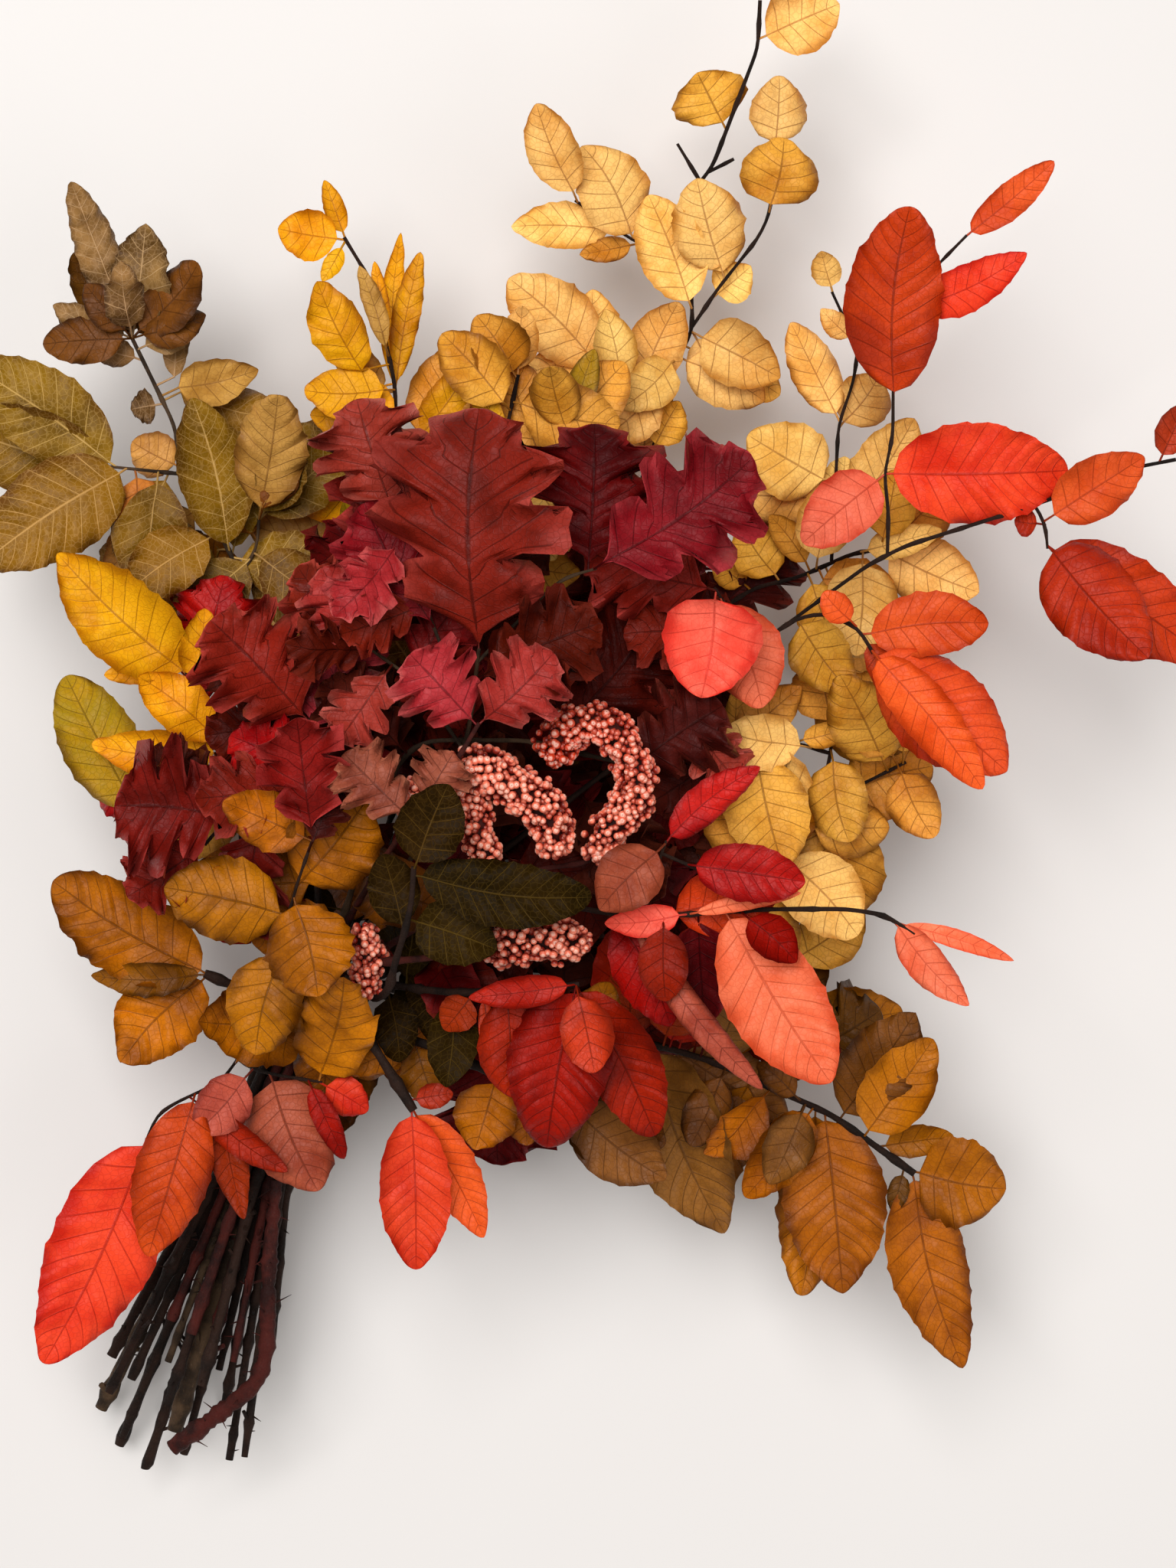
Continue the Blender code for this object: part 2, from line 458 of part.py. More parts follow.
def leafPose(leaf, root, kind, tilt, roll, lift, share, dice):
    """Where a blade lies: its base, its three directions and its form."""
    base = Vector((leaf[0], leaf[1], root.z + lift))
    reach = base.xy - root.xy
    toTip = Vector((leaf[2] - root.x, leaf[3] - root.y)).normalized()
    need = max(petioleLength, petioleSlope * abs(lift))
    if reach.length < need or reach.dot(toTip) < 0.4 * reach.length:
        base.x = root.x + toTip.x * need
        base.y = root.y + toTip.y * need
    run = Vector((leaf[2] - base.x, leaf[3] - base.y, 0.0)) * share
    ahead = Vector((run.x, run.y, run.length * math.tan(math.radians(tilt))))
    length = ahead.length
    ahead.normalize()
    across = Vector((ahead.y, -ahead.x, 0.0)).normalized()
    across = Matrix.Rotation(math.radians(roll), 3, ahead) @ across
    width = leaf[4] * share
    size = "small" if width < smallWidth else "large"
    pose = dict(root=root, base=base, ahead=ahead, across=across, normal=across.cross(ahead),
                kind=kind, size=size, length=length, halfWidth=width / 2)
    pose.update(dice)
    return pose


def leafDice(kind, leafNumber, branchNumber, resting):
    """The small differences from leaf to leaf, drawn from the leaf's own seed."""
    if resting:
        return dict(bow=0.0, foldLeft=0.0, foldRight=0.0, ruffle=0.0, waves=0.0, phase=0.0)
    draw = random.Random(1000 * branchNumber + leafNumber)
    fold = draw.uniform(*foldRange)
    ruffle, waves = ruffles[kind]
    return dict(bow=draw.uniform(*bowRange), foldLeft=fold + draw.uniform(-foldDrift, foldDrift),
                foldRight=fold + draw.uniform(-foldDrift, foldDrift), ruffle=ruffle,
                waves=waves, phase=draw.uniform(0, 2 * math.pi))


def nearestOnTubes(tubes, x, y):
    """The point of a branch's stem or twigs that shows nearest to a place."""
    best = None
    here = Vector((x, y))
    for path, startRadius, endRadius in tubes:
        for a, b in zip(path[:-1], path[1:]):
            flat = Vector((b.x - a.x, b.y - a.y))
            t = 0.5
            if flat.length > 0.001:
                t = max(0.0, min(1.0, (here - a.xy).dot(flat) / flat.length_squared))
            if b is path[-1]:
                t = min(t, 1.0 - tipRadius * 1.4 / (b - a).length)
            point = a.lerp(b, t)
            far = (point.xy - here).length
            if best is None or far < best[0]:
                best = (far, point)
    return best[1]


def solidTree(mesh):
    """A search tree of a mesh with the corners of its box."""
    verts, faces = mesh
    low = [min(v[k] for v in verts) for k in range(3)]
    high = [max(v[k] for v in verts) for k in range(3)]
    return dict(tree=BVHTree.FromPolygons(verts, faces), low=low, high=high)


def touches(one, other):
    """Whether two search trees cross."""
    for k in range(3):
        if one["low"][k] > other["high"][k] or other["low"][k] > one["high"][k]:
            return False
    return bool(one["tree"].overlap(other["tree"]))


def tiltChoices():
    """Changes of tilt, roll and lift, the mildest first."""
    choices = []
    for tilt in tiltSteps:
        for roll in rollSteps:
            for lift in liftSteps:
                cost = abs(tilt) + 0.7 * abs(roll) + 1.5 * abs(lift) + (2 if tilt > 0 else 0)
                choices.append((cost, tilt, roll, lift))
    return sorted(choices)


def topOf(branch):
    """The highest point that a branch's stem and twigs are given."""
    return max(point[2] for path in [branch["stem"]] + branch["twigs"] for point in path)


def placeLeaves(branchTubesByName, blocked):
    """Give every leaf a pose in which it crosses no other branch and no blade of its own."""
    poses = {branch["name"]: [] for branch in branches}
    dropped = []
    choices = tiltChoices()
    def turnOf(number):
        branch = branches[number]
        return (not branch.get("resting"), -topOf(branch))

    for branchNumber in sorted(range(len(branches)), key=turnOf):
        branch = branches[branchNumber]
        tubes = branchTubesByName[branch["name"]]
        listed = [(leaf, True) for leaf in branch.get("resting", [])]
        listed += [(leaf, False) for leaf in branch["leaves"]]
        for leafNumber, (leaf, resting) in enumerate(listed):
            kind = leaf[6] if len(leaf) > 6 else branch.get("kind", "beech")
            tilt = leaf[5] if len(leaf) > 5 else branch["tilt"]
            root = nearestOnTubes(tubes, leaf[0], leaf[1])
            dice = leafDice(kind, leafNumber, branchNumber, resting)
            if resting:
                lift = bladeThickness / 2 - root.z
                pose = leafPose(leaf, root, kind, 0, 0, lift, 1.0, dice)
                keepPose(pose, branch["name"], poses, blocked)
                continue
            pose = firstClearPose(leaf, root, kind, tilt, dice, branch["name"], choices, blocked)
            if pose is None:
                dropped.append((branch["name"], leafNumber))
            else:
                keepPose(pose, branch["name"], poses, blocked)
    return poses, dropped


def keepPose(pose, name, poses, blocked):
    """Remember a placed leaf and the room that it takes."""
    poses[name].append(pose)
    blocked.append(dict(name=name, whole=solidTree(bladeMesh(pose, clearance)),
                        outer=solidTree(bladeMesh(pose, clearance, freeShare))))


def firstClearPose(leaf, root, kind, tilt, dice, name, choices, blocked):
    """The mildest change of pose that clears everything placed so far, or None."""
    for share in sizeShares:
        for cost, tiltChange, roll, lift in choices:
            if abs(tilt + tiltChange) > steepest:
                continue
            pose = leafPose(leaf, root, kind, tilt + tiltChange, roll, lift, share, dice)
            petiole = pose["base"] - root
            if petiole.dot(pose["ahead"]) < leastForward * petiole.length:
                continue
            whole = solidTree(bladeMesh(pose, clearance))
            if whole["low"][2] < lowestLeaf:
                continue
            outer = solidTree(bladeMesh(pose, clearance, freeShare))
            own = [item["outer"] for item in blocked if item["name"] == name]
            others = [item["whole"] for item in blocked if item["name"] != name]
            if any(touches(outer, item) for item in own):
                continue
            if not any(touches(whole, item) for item in others):
                return pose
    return None


# Building


def makeObject(name, mesh, material):
    """A Blender object from points in millimetres as they show, with faces pointing out."""
    verts, faces = mesh
    points = [trueSize(v) for v in verts]
    volume = sum(points[a].dot(points[b].cross(points[c])) for a, b, c in faces)
    if volume < 0:
        faces = [tuple(reversed(f)) for f in faces]
    data = bpy.data.meshes.new(name)
    data.from_pydata([tuple(p) for p in points], [], faces)
    data.materials.append(material)
    made = bpy.data.objects.new(name, data)
    bpy.context.scene.collection.objects.link(made)
    return made


def makeMaterial(name, colour):
    """A plain leaf or bark finish."""
    material = bpy.data.materials.new(name)
    material.use_nodes = True
    shader = material.node_tree.nodes["Principled BSDF"]
    shader.inputs["Base Color"].default_value = (*colour, 1.0)
    shader.inputs["Roughness"].default_value = 0.7
    shader.inputs["Metallic"].default_value = 0.0
    return material


def fuse(base, parts):
    """Join the parts to the base in one closed body."""
    if not parts:
        return base
    group = bpy.data.collections.new(base.name + "_parts")
    bpy.context.scene.collection.children.link(group)
    for part in parts:
        bpy.context.scene.collection.objects.unlink(part)
        group.objects.link(part)
    union = base.modifiers.new("Union", "BOOLEAN")
    union.operation = "UNION"
    union.operand_type = "COLLECTION"
    union.collection = group
    union.solver = "MANIFOLD"
    bpy.context.view_layer.update()
    shaped = bpy.data.meshes.new_from_object(base.evaluated_get(bpy.context.evaluated_depsgraph_get()))
    base.modifiers.clear()
    base.data = shaped
    work = bmesh.new()
    work.from_mesh(shaped)
    bmesh.ops.dissolve_limit(work, angle_limit=math.radians(flatAngle), verts=work.verts, edges=work.edges)
    bmesh.ops.triangulate(work, faces=work.faces)
    work.to_mesh(shaped)
    work.free()
    for part in parts:
        bpy.data.objects.remove(part, do_unlink=True)
    bpy.data.collections.remove(group)
    return base


def stemRadii(path, startRadius, endRadius, isMain, branchNumber):
    """Radius at each point: even through the grip, its own at the cut end and slim at the tip."""
    cutRadius = stemRadius * random.Random(girthSeed + branchNumber).uniform(*girthRange)
    radii = []
    total = sum((b - a).length for a, b in zip(path[:-1], path[1:]))
    run = 0.0
    for i, point in enumerate(path):
        if i:
            run += (point - path[i - 1]).length
        below = (gripPoint - point).dot(gripAxis) - gripHalfLength
        above = (point - gripPoint).dot(gripAxis) - gripHalfLength
        if isMain and below > 0:
            share = min(1.0, max(0.0, below - cutTaper[0]) / cutTaper[1])
            radii.append(startRadius + (cutRadius - startRadius) * share)
        elif isMain:
            share = max(0.0, min(1.0, above / fanTaper))
            radii.append(startRadius + (endRadius - startRadius) * share)
        else:
            radii.append(startRadius + (endRadius - startRadius) * run / total)
    return radii


def headMesh(head):
    """A berry head: a core along its path with every second corner raised as a berry."""
    path = smoothPath(head[:-1], berryRings)
    verts, faces = tubeMesh(path, [1.0] * len(path), headSides)
    for i, point in enumerate(path):
        isEnd = i in (0, len(path) - 1)
        for k in range(headSides):
            reach = head[-1] * (headEndShare if isEnd else 1.0)
            reach += berryRise if (i + k) % 2 else -berryRise
            corner = i * headSides + k
            verts[corner] = point + (verts[corner] - point) * reach
    return verts, faces


def buildBranch(branch, tubes, poses):
    """Model one branch with its leaves or berries as one body."""
    name = branch["name"]
    material = makeMaterial(name + "_colour", branch["colour"])
    parts = []
    for number, (path, startRadius, endRadius) in enumerate(tubes):
        radii = stemRadii(path, startRadius, endRadius, number == 0, branches.index(branch))
        if number == 0:
            parts.append(makeObject(name, tubeMesh(path, radii, stemSides), material))
        else:
            parts.append(makeObject(name + "_twig", tubeMesh(path, radii, twigSides), material))
    for pose in poses:
        parts.append(makeObject(name + "_leaf", bladeMesh(pose), material))
    for head in branch.get("heads", []):
        parts.append(makeObject(name + "_head", headMesh(head), material))
    return fuse(parts[0], parts[1:])


def main():
    for oldObject in list(bpy.data.objects):
        bpy.data.objects.remove(oldObject, do_unlink=True)
    tubesByName = {branch["name"]: branchTubes(branch) for branch in branches}
    blocked = []
    for branch in branches:
        for number, (path, startRadius, endRadius) in enumerate(tubesByName[branch["name"]]):
            radii = stemRadii(path, startRadius, endRadius, number == 0, branches.index(branch))
            room = [radius + clearance for radius in radii]
            tree = solidTree(tubeMesh(path, room, stemSides))
            blocked.append(dict(name=branch["name"], whole=tree, outer=tree))
        for head in branch.get("heads", []):
            path = smoothPath(head[:-1], headRoomSpacing)
            reach = head[-1] + berryRise + clearance
            tree = solidTree(tubeMesh(path, [reach] * len(path), headSides))
            blocked.append(dict(name=branch["name"], whole=tree, outer=tree))
    poses, dropped = placeLeaves(tubesByName, blocked)
    for name, leafNumber in dropped:
        print("no clear place for leaf", leafNumber, "of", name)
    for branch in branches:
        made = buildBranch(branch, tubesByName[branch["name"]], poses[branch["name"]])
        print(made.name, len(made.data.polygons), "faces")


main()
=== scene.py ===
import math
import random

import bmesh
import bpy
import numpy as np
from mathutils import Matrix, Vector, noise
from mathutils.bvhtree import BVHTree


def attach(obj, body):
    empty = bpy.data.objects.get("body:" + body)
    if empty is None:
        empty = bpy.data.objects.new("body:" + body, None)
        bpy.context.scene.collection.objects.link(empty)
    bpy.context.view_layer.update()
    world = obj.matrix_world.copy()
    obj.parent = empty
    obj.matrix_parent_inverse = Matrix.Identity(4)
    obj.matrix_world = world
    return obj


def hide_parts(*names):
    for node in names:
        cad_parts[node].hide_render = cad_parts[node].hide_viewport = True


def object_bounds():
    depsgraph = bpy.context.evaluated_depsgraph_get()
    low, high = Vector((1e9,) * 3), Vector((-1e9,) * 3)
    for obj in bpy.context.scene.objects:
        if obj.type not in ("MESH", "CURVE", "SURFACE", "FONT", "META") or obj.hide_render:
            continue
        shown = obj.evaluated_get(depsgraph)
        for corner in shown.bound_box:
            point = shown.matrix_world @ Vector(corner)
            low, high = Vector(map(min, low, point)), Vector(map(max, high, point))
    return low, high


# Autumn leaf bouquet, lying on its back and seen from straight above
# Lengths are millimetres as they show from the eye until trueSize() makes them metres
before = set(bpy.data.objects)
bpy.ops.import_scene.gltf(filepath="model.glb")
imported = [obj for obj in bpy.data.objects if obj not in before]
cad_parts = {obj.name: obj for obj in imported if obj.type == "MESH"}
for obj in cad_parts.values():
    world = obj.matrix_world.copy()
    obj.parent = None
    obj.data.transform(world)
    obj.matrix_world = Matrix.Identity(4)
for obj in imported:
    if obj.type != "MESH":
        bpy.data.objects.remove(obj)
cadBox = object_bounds()
print("frame loaded:", len(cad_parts), "branches")

view = {"eyeDistance": 1000.0, "gripHeight": 60.0, "layCentre": (-7.3, 14.1)}

grip = {
    "point": Vector((-142.0, -150.0, view["gripHeight"])),
    "axis": Vector((0.40, 0.917, 0.0)),
    "side": Vector((0.917, -0.40, 0.0)),
    "halfLength": 30.0,
    "lead": 14.0,
    "fanLength": 24.0,
    "fanEase": 0.85,
    "pitch": 5.6,
    "rise": 5.1,
    "cutSpread": 0.012,
    "cutDrift": 0.12,
    "cutDrop": 0.25,
    "lowestRow": -2,
    "lowestCut": 2.6,
}

stems = {
    "radius": 2.5,
    "twigRadius": 1.5,
    "twigStep": 0.1,
    "tipRadius": 1.1,
    "girth": (0.6, 1.2),
    "girthSeed": 700,
    "cutTaper": (10.0, 60.0),
    "fanTaper": 200.0,
    "spacing": 9.0,
    "slack": 1.2,
    "roomSides": 6,
}

blades = {
    "solidThickness": 0.8,
    "smallWidth": 35.0,
    "petioleHalfWidth": 0.6,
    "beechStations": {"small": (0.0, 0.3, 0.7, 1.0), "large": (0.0, 0.22, 0.64, 1.0)},
    "oakStations": (0.0, 0.24, 0.34, 0.47, 0.59, 0.72, 0.83, 1.0),
    "oakHalfWidths": (0.05, 0.72, 0.52, 1.0, 0.68, 0.92, 0.6, 0.26),
    "oakSweep": 0.09,
    "ruffles": {"oak": (0.22, 3.2), "beech": (0.10, 1.6)},
    "ruffleLag": 0.9,
    "bow": (-0.04, 0.09),
    "fold": (-0.05, 0.30),
    "foldDrift": 0.12,
}

placing = {
    "petioleLength": 4.0,
    "petioleSlope": 0.6,
    "clearance": 0.75,
    "freeShare": 0.2,
    "steepest": 62.0,
    "lowestLeaf": 1.0,
    "leastForward": 0.35,
    "sizes": (1.0, 0.88, 0.75, 0.6),
    "tilts": range(-56, 57, 8),
    "rolls": range(-48, 49, 16),
    "lifts": (0.0, -5.0, 5.0, 9.0),
}

heads = {"rise": 1.7, "sides": 8, "spacing": 9.0}

# Each branch: its row in the grip, its cut end, its stem, twigs and leaves, and the tone of each leaf
# A leaf is base x, base y, tip x, tip y, width and, where it matters, the tilt of its tip
branches = [
    dict(name="back_branch_left", row=-2, cut=118, tilt=4,
         tones="goldBrown darkOchre olive goldBrown darkGold",
         stem=[(-152, -60, 34), (-160, 20, 17), (-152, 90, 13), (-138, 132, 13)],
         twigs=[],
         resting=[(-158, 62, -204, 92, 44), (-148, 92, -112, 128, 42)],
         leaves=[(-162, 10, -118, 40, 40), (-160, 0, -196, -30, 38), (-140, 128, -152, 168, 36)]),
    dict(name="back_branch_top", row=-2, cut=150, tilt=4,
         tones="darkGold olive goldBrown darkGold",
         stem=[(-88, -10, 32), (-62, 60, 16), (-38, 112, 13), (-22, 138, 13)],
         twigs=[],
         resting=[(-60, 62, -8, 58, 48)],
         leaves=[(-68, 40, -100, 84, 42), (-40, 108, -72, 144, 38), (-24, 134, 14, 150, 36)]),
    dict(name="back_branch_right", row=-2, cut=104, tilt=4,
         tones="goldBrown darkOchre darkGold goldBrown",
         stem=[(-40, -48, 32), (32, -10, 17), (78, 28, 13), (100, 48, 13)],
         twigs=[],
         resting=[(52, 8, 66, -40, 44), (80, 32, 52, 76, 42)],
         leaves=[(20, -18, 2, 26, 38), (98, 46, 128, 72, 34)]),
    dict(name="back_branch_low", row=-2, cut=136, tilt=4,
         tones="darkOchre goldBrown brown darkOchre",
         stem=[(-60, -98, 26), (-30, -106, 18), (6, -104, 13), (28, -100, 13)],
         twigs=[],
         resting=[(-30, -110, -58, -66, 44), (10, -102, 34, -144, 38)],
         leaves=[(-52, -112, -84, -72, 34), (26, -100, 62, -84, 34)]),
    dict(name="olive_beech_branch", row=-1, cut=158, tilt=8,
         tones="olive olive olive olive olive olive olive tan rust crumpled tan olive crumpled "
               "crumpled crumpled crumpled crumpled olive tan",
         stem=[(-152, 20, 78), (-160, 78, 84), (-163, 104, 88), (-172, 118, 89), (-185, 138, 91),
               (-190, 165, 93), (-203, 190, 96), (-210, 206, 98)],
         twigs=[[(-187, 142, 91), (-211, 144, 94), (-222, 146, 96)],
                [(-160, 94, 87), (-152, 108, 92), (-151, 123, 96)]],
         leaves=[(-151, 123, -133, 164, 28), (-163, 104, -112, 95, 32), (-162, 108, -182, 178, 35),
                 (-168, 75, -198, 127, 28), (-216, 149, -288, 195, 40), (-221, 145, -290, 165, 40, -6),
                 (-212, 143, -280, 100, 45), (-186, 145, -209, 157, 22), (-208, 145, -201, 108, 25),
                 (-190, 187, -189, 231, 13), (-188, 182, -152, 190, 22), (-187, 180, -136, 167, 24),
                 (-192, 176, -210, 172, 16), (-208, 212, -203, 258, 28), (-210, 205, -238, 278, 20),
                 (-212, 205, -246, 220, 16), (-203, 195, -228, 203, 14), (-162, 106, -150, 158, 16),
                 (-172, 70, -203, 98, 18)]),
    dict(name="yellow_beech_branch", row=-1, cut=170, tilt=8,
         tones="yellow yellow tan yellow yellow yellow tan yellow yellow yellow oliveYellow",
         stem=[(-104, 80, 74), (-88, 172, 80), (-92, 200, 84), (-101, 233, 86), (-112, 251, 88)],
         twigs=[],
         leaves=[(-104, 190, -125, 232, 25), (-93, 183, -112, 160, 25), (-95, 180, -118, 210, 18),
                 (-95, 200, -98, 240, 8), (-90, 182, -77, 244, 13), (-90, 180, -86, 253, 12),
                 (-97, 195, -105, 238, 10), (-112, 250, -122, 231, 9), (-114, 252, -142, 255, 24),
                 (-114, 252, -121, 277, 10), (-102, 84, -112, 130, 14)]),
    dict(name="golden_beech_branch_top", row=-1, cut=146, tilt=8,
         tones="gold gold gold gold gold gold gold gold darkGold gold gold gold rust darkGold gold "
               "darkGold darkGold gold",
         stem=[(-30, 40, 62), (29, 150, 66), (36, 185, 68), (48, 208, 69), (47, 235, 69), (48, 262, 71),
               (50, 275, 72), (57, 283, 73), (63, 300, 75), (70, 320, 77), (78, 338, 79), (79, 360, 80)],
         twigs=[[(48, 210, 69), (60, 228, 74), (82, 258, 79), (86, 292, 82)],
                [(32, 165, 67), (20, 178, 70), (5, 192, 73)],
                [(46, 224, 69), (30, 245, 72), (20, 250, 74), (-6, 268, 77)],
                [(50, 278, 72), (41, 294, 73)], [(55, 281, 73), (67, 287, 74)]],
         leaves=[(47, 218, 28, 270, 32), (62, 232, 50, 278, 34), (24, 180, 42, 222, 27),
                 (18, 183, 8, 218, 20), (5, 193, -36, 232, 34), (22, 250, -2, 293, 34),
                 (12, 252, -35, 256, 22), (-8, 270, -24, 313, 24), (22, 245, -4, 243, 12),
                 (57, 222, 75, 238, 20), (51, 206, 65, 180, 22), (3, 194, -30, 188, 18),
                 (14, 183, 12, 162, 16), (31, 152, 42, 176, 20), (86, 292, 88, 325, 26),
                 (64, 300, 50, 327, 36), (84, 262, 90, 296, 36), (79, 342, 115, 358, 32)]),
    dict(name="golden_beech_branch_right", row=-1, cut=132, tilt=8,
         tones="gold gold gold gold darkGold rust gold darkGold gold gold gold darkGold",
         stem=[(0, 30, 66), (76, 90, 74), (90, 93, 75), (105, 98, 76), (122, 106, 78), (136, 108, 80)],
         twigs=[[(112, 101, 77), (114, 130, 79), (115, 165, 82), (122, 185, 84), (124, 200, 85),
                 (118, 215, 87), (112, 226, 88)]],
         leaves=[(114, 167, 93, 212, 22), (115, 163, 134, 188, 26), (108, 140, 74, 160, 36),
                 (120, 122, 150, 168, 30), (88, 93, 70, 120, 24), (108, 94, 140, 92, 20),
                 (114, 126, 118, 150, 20), (100, 102, 83, 124, 14), (124, 110, 163, 117, 15),
                 (124, 203, 107, 218, 12), (112, 228, 107, 245, 14), (74, 90, 57, 106, 15)]),
    dict(name="gold_brown_beech_branch", row=-1, cut=112, tilt=6,
         tones="goldBrown goldBrown goldBrown goldBrown amber goldBrown goldBrown darkGold yellow",
         stem=[(-10, -64, 80), (85, -35, 92), (106, -10, 94), (110, 5, 95), (112, 20, 96),
               (113, 35, 97)],
         twigs=[[(106, -10, 94), (120, -3, 95), (146, 10, 96)],
                [(111, 14, 95), (92, 20, 97), (84, 15, 98), (65, 18, 99)]],
         leaves=[(85, -34, 82, 15, 38), (113, 25, 106, 60, 33), (116, -5, 158, 8, 40),
                 (100, -20, 138, -20, 28), (88, -30, 100, -5, 20), (66, 18, 98, 45, 22),
                 (95, 19, 122, 28, 12), (64, 20, 68, 43, 10), (64, 16, 38, -8, 16)]),
    dict(name="brown_oak_branch", row=-1, cut=92, tilt=4,
         tones="brown goldBrown brown brown",
         stem=[(-60, -96, 58), (20, -106, 61), (60, -106, 64), (90, -124, 66)],
         twigs=[[(62, -107, 64), (82, -92, 68), (95, -80, 70)]],
         leaves=[(92, -126, 134, -104, 45, 4, "oak"), (93, -84, 127, -58, 28), (45, -104, 58, -66, 26),
                 (74, -112, 60, -140, 24)]),
    dict(name="yellow_beech_branch_left", row=0, cut=166, tilt=8,
         tones="yellow yellow yellow yellow yellow oliveYellow",
         stem=[(-160, -20, 92), (-168, 20, 99), (-172, 30, 101), (-180, 45, 104), (-186, 55, 106)],
         twigs=[[(-163, -6, 94), (-188, -14, 90), (-208, -14, 88)]],
         leaves=[(-186, 48, -244, 106, 40), (-170, 18, -207, 50, 25), (-172, 14, -227, 18, 24),
                 (-184, 58, -222, 50, 12), (-178, 46, -176, 80, 20), (-210, -15, -240, 50, 36, -4)]),
    dict(name="yellow_beech_branch_middle", row=0, cut=176, tilt=6,
         tones="goldBrown yellow oliveYellow goldBrown gold yellow",
         stem=[(-70, 20, 90), (-45, 130, 104), (-38, 160, 106), (-32, 188, 108)],
         twigs=[[(-48, 124, 103), (-66, 144, 105), (-80, 158, 106)],
                [(-43, 136, 104), (-22, 148, 105), (-8, 160, 106)]],
         leaves=[(-22, 149, -37, 197, 28), (-40, 156, -55, 190, 12), (-8, 160, 3, 200, 15),
                 (-32, 186, -51, 215, 28), (-32, 190, -30, 220, 18), (-80, 158, -54, 192, 20)]),
    dict(name="red_beech_branch_upper", row=0, cut=162, tilt=8,
         tones="coral scarlet scarlet ember scarlet ember ember ember scarlet crimson",
         stem=[(40, 30, 104), (88, 71, 113), (120, 94, 116), (137, 106, 117), (155, 112, 118),
               (205, 128, 121), (256, 147, 124), (270, 149, 125)],
         twigs=[[(137, 106, 117), (138, 125, 118), (136, 142, 119), (140, 160, 119), (141, 200, 118),
                 (148, 220, 118), (165, 244, 122), (174, 252, 125)],
                [(205, 128, 121), (210, 120, 121), (211, 108, 121)]],
         leaves=[(136, 142, 99, 111, 30), (138, 142, 219, 144, 47), (147, 217, 202, 244, 22, 20),
                 (141, 176, 148, 267, 45, 14), (210, 121, 255, 150, 28), (209, 119, 196, 121, 13),
                 (211, 108, 258, 57, 42), (211, 108, 284, 58, 40, -4), (173, 252, 214, 286, 16),
                 (262, 148, 275, 175, 16)]),
    dict(name="brown_beech_branch", row=0, cut=128, tilt=2,
         tones="amber amber amber amber amber amber brown taupe taupe brown",
         stem=[(-40, -122, 80), (32, -120, 88), (80, -137, 90), (103, -148, 91), (112, -152, 91),
               (125, -162, 91), (150, -179, 92)],
         twigs=[],
         leaves=[(108, -152, 117, -234, 48), (103, -150, 72, -190, 25), (104, -150, 98, -234, 35, -8),
                 (148, -178, 192, -186, 42), (133, -166, 168, -162, 15), (150, -180, 172, -268, 36),
                 (145, -176, 140, -197, 10), (40, -122, 92, -155, 35), (28, -122, 63, -207, 45, -4),
                 (98, -146, 78, -128, 14)]),
    dict(name="red_beech_branch_lower_left", row=1, cut=134, tilt=2,
         tones="darkRed duskyPink duskyPink scarlet ember darkRed scarlet darkRed",
         stem=[],
         twigs=[[(-143, -114, 65), (-154, -119, 67), (-161, -126, 80), (-168, -136, 98),
                 (-180, -142, 106), (-198, -152, 110),
                 (-203, -164, 110)],
                [(-161, -126, 80), (-154, -131, 95), (-136, -135, 101), (-122, -137, 102)]],
         leaves=[(-183, -144, -138, -178, 14), (-154, -131, -180, -160, 25, 12),
                 (-145, -128, -124, -187, 42, 8),
                 (-203, -164, -250, -266, 50), (-180, -143, -202, -217, 35),
                 (-168, -138, -158, -200, 18),
                 (-122, -136, -101, -150, 18), (-128, -133, -112, -172, 12)]),
    dict(name="burgundy_oak_branch_left", row=1, cut=140, tilt=6, kind="oak",
         tones="burgundy burgundy crimson raspberry burgundy burgundy",
         stem=[(-124, -30, 126), (-125, 5, 134), (-128, 30, 138)],
         twigs=[[(-124, -24, 127), (-145, -18, 133), (-165, -15, 135), (-176, -28, 133)]],
         leaves=[(-128, 30, -174, 76, 58), (-165, -15, -218, -10, 66), (-126, 2, -164, 22, 36),
                 (-122, 22, -110, 76, 44), (-176, -28, -212, -52, 34), (-124, -10, -98, 26, 38)]),
    dict(name="burgundy_oak_branch_inner", row=1, cut=126, tilt=0, kind="oak",
         tones="maroon wine raspberry wine",
         stem=[(-80, 17, 140), (-55, 20, 145), (-28, 20, 145), (0, 14, 141), (22, 8, 138)],
         twigs=[],
         leaves=[(22, 8, 62, 36, 50), (-20, 19, 32, 78, 56), (-84, 10, -120, 6, 36),
                 (-56, 20, -74, 62, 40)]),
    dict(name="burgundy_oak_branch_top", row=1, cut=154, tilt=8, kind="oak",
         tones="burgundy wine burgundy raspberry raspberry wine",
         stem=[(-62, 0, 146), (-52, 40, 165), (-50, 62, 173)],
         twigs=[[(-51, 56, 172), (-30, 78, 173), (-10, 95, 173), (4, 99, 173)],
                [(-55, 30, 166), (-74, 80, 160), (-90, 126, 158)],
                [(-57, 16, 163), (-80, 48, 154), (-100, 62, 150)]],
         leaves=[(-50, 62, -50, 172, 92), (0, 98, 3, 164, 68), (4, 98, 76, 150, 62),
                 (-90, 126, -106, 176, 56), (-100, 62, -122, 99, 40), (-48, 48, 6, 74, 48)]),
    dict(name="red_beech_branch_right", row=1, cut=120, tilt=8,
         tones="scarlet ember scarlet scarlet scarlet coral coral",
         stem=[(40, 30, 132), (100, 78, 139), (115, 77, 140), (124, 72, 141), (131, 60, 142)],
         twigs=[[(66, 51, 136), (66, 78, 144), (58, 90, 148)]],
         leaves=[(128, 70, 185, 74, 30), (124, 66, 155, 22, 18), (131, 62, 192, 6, 45),
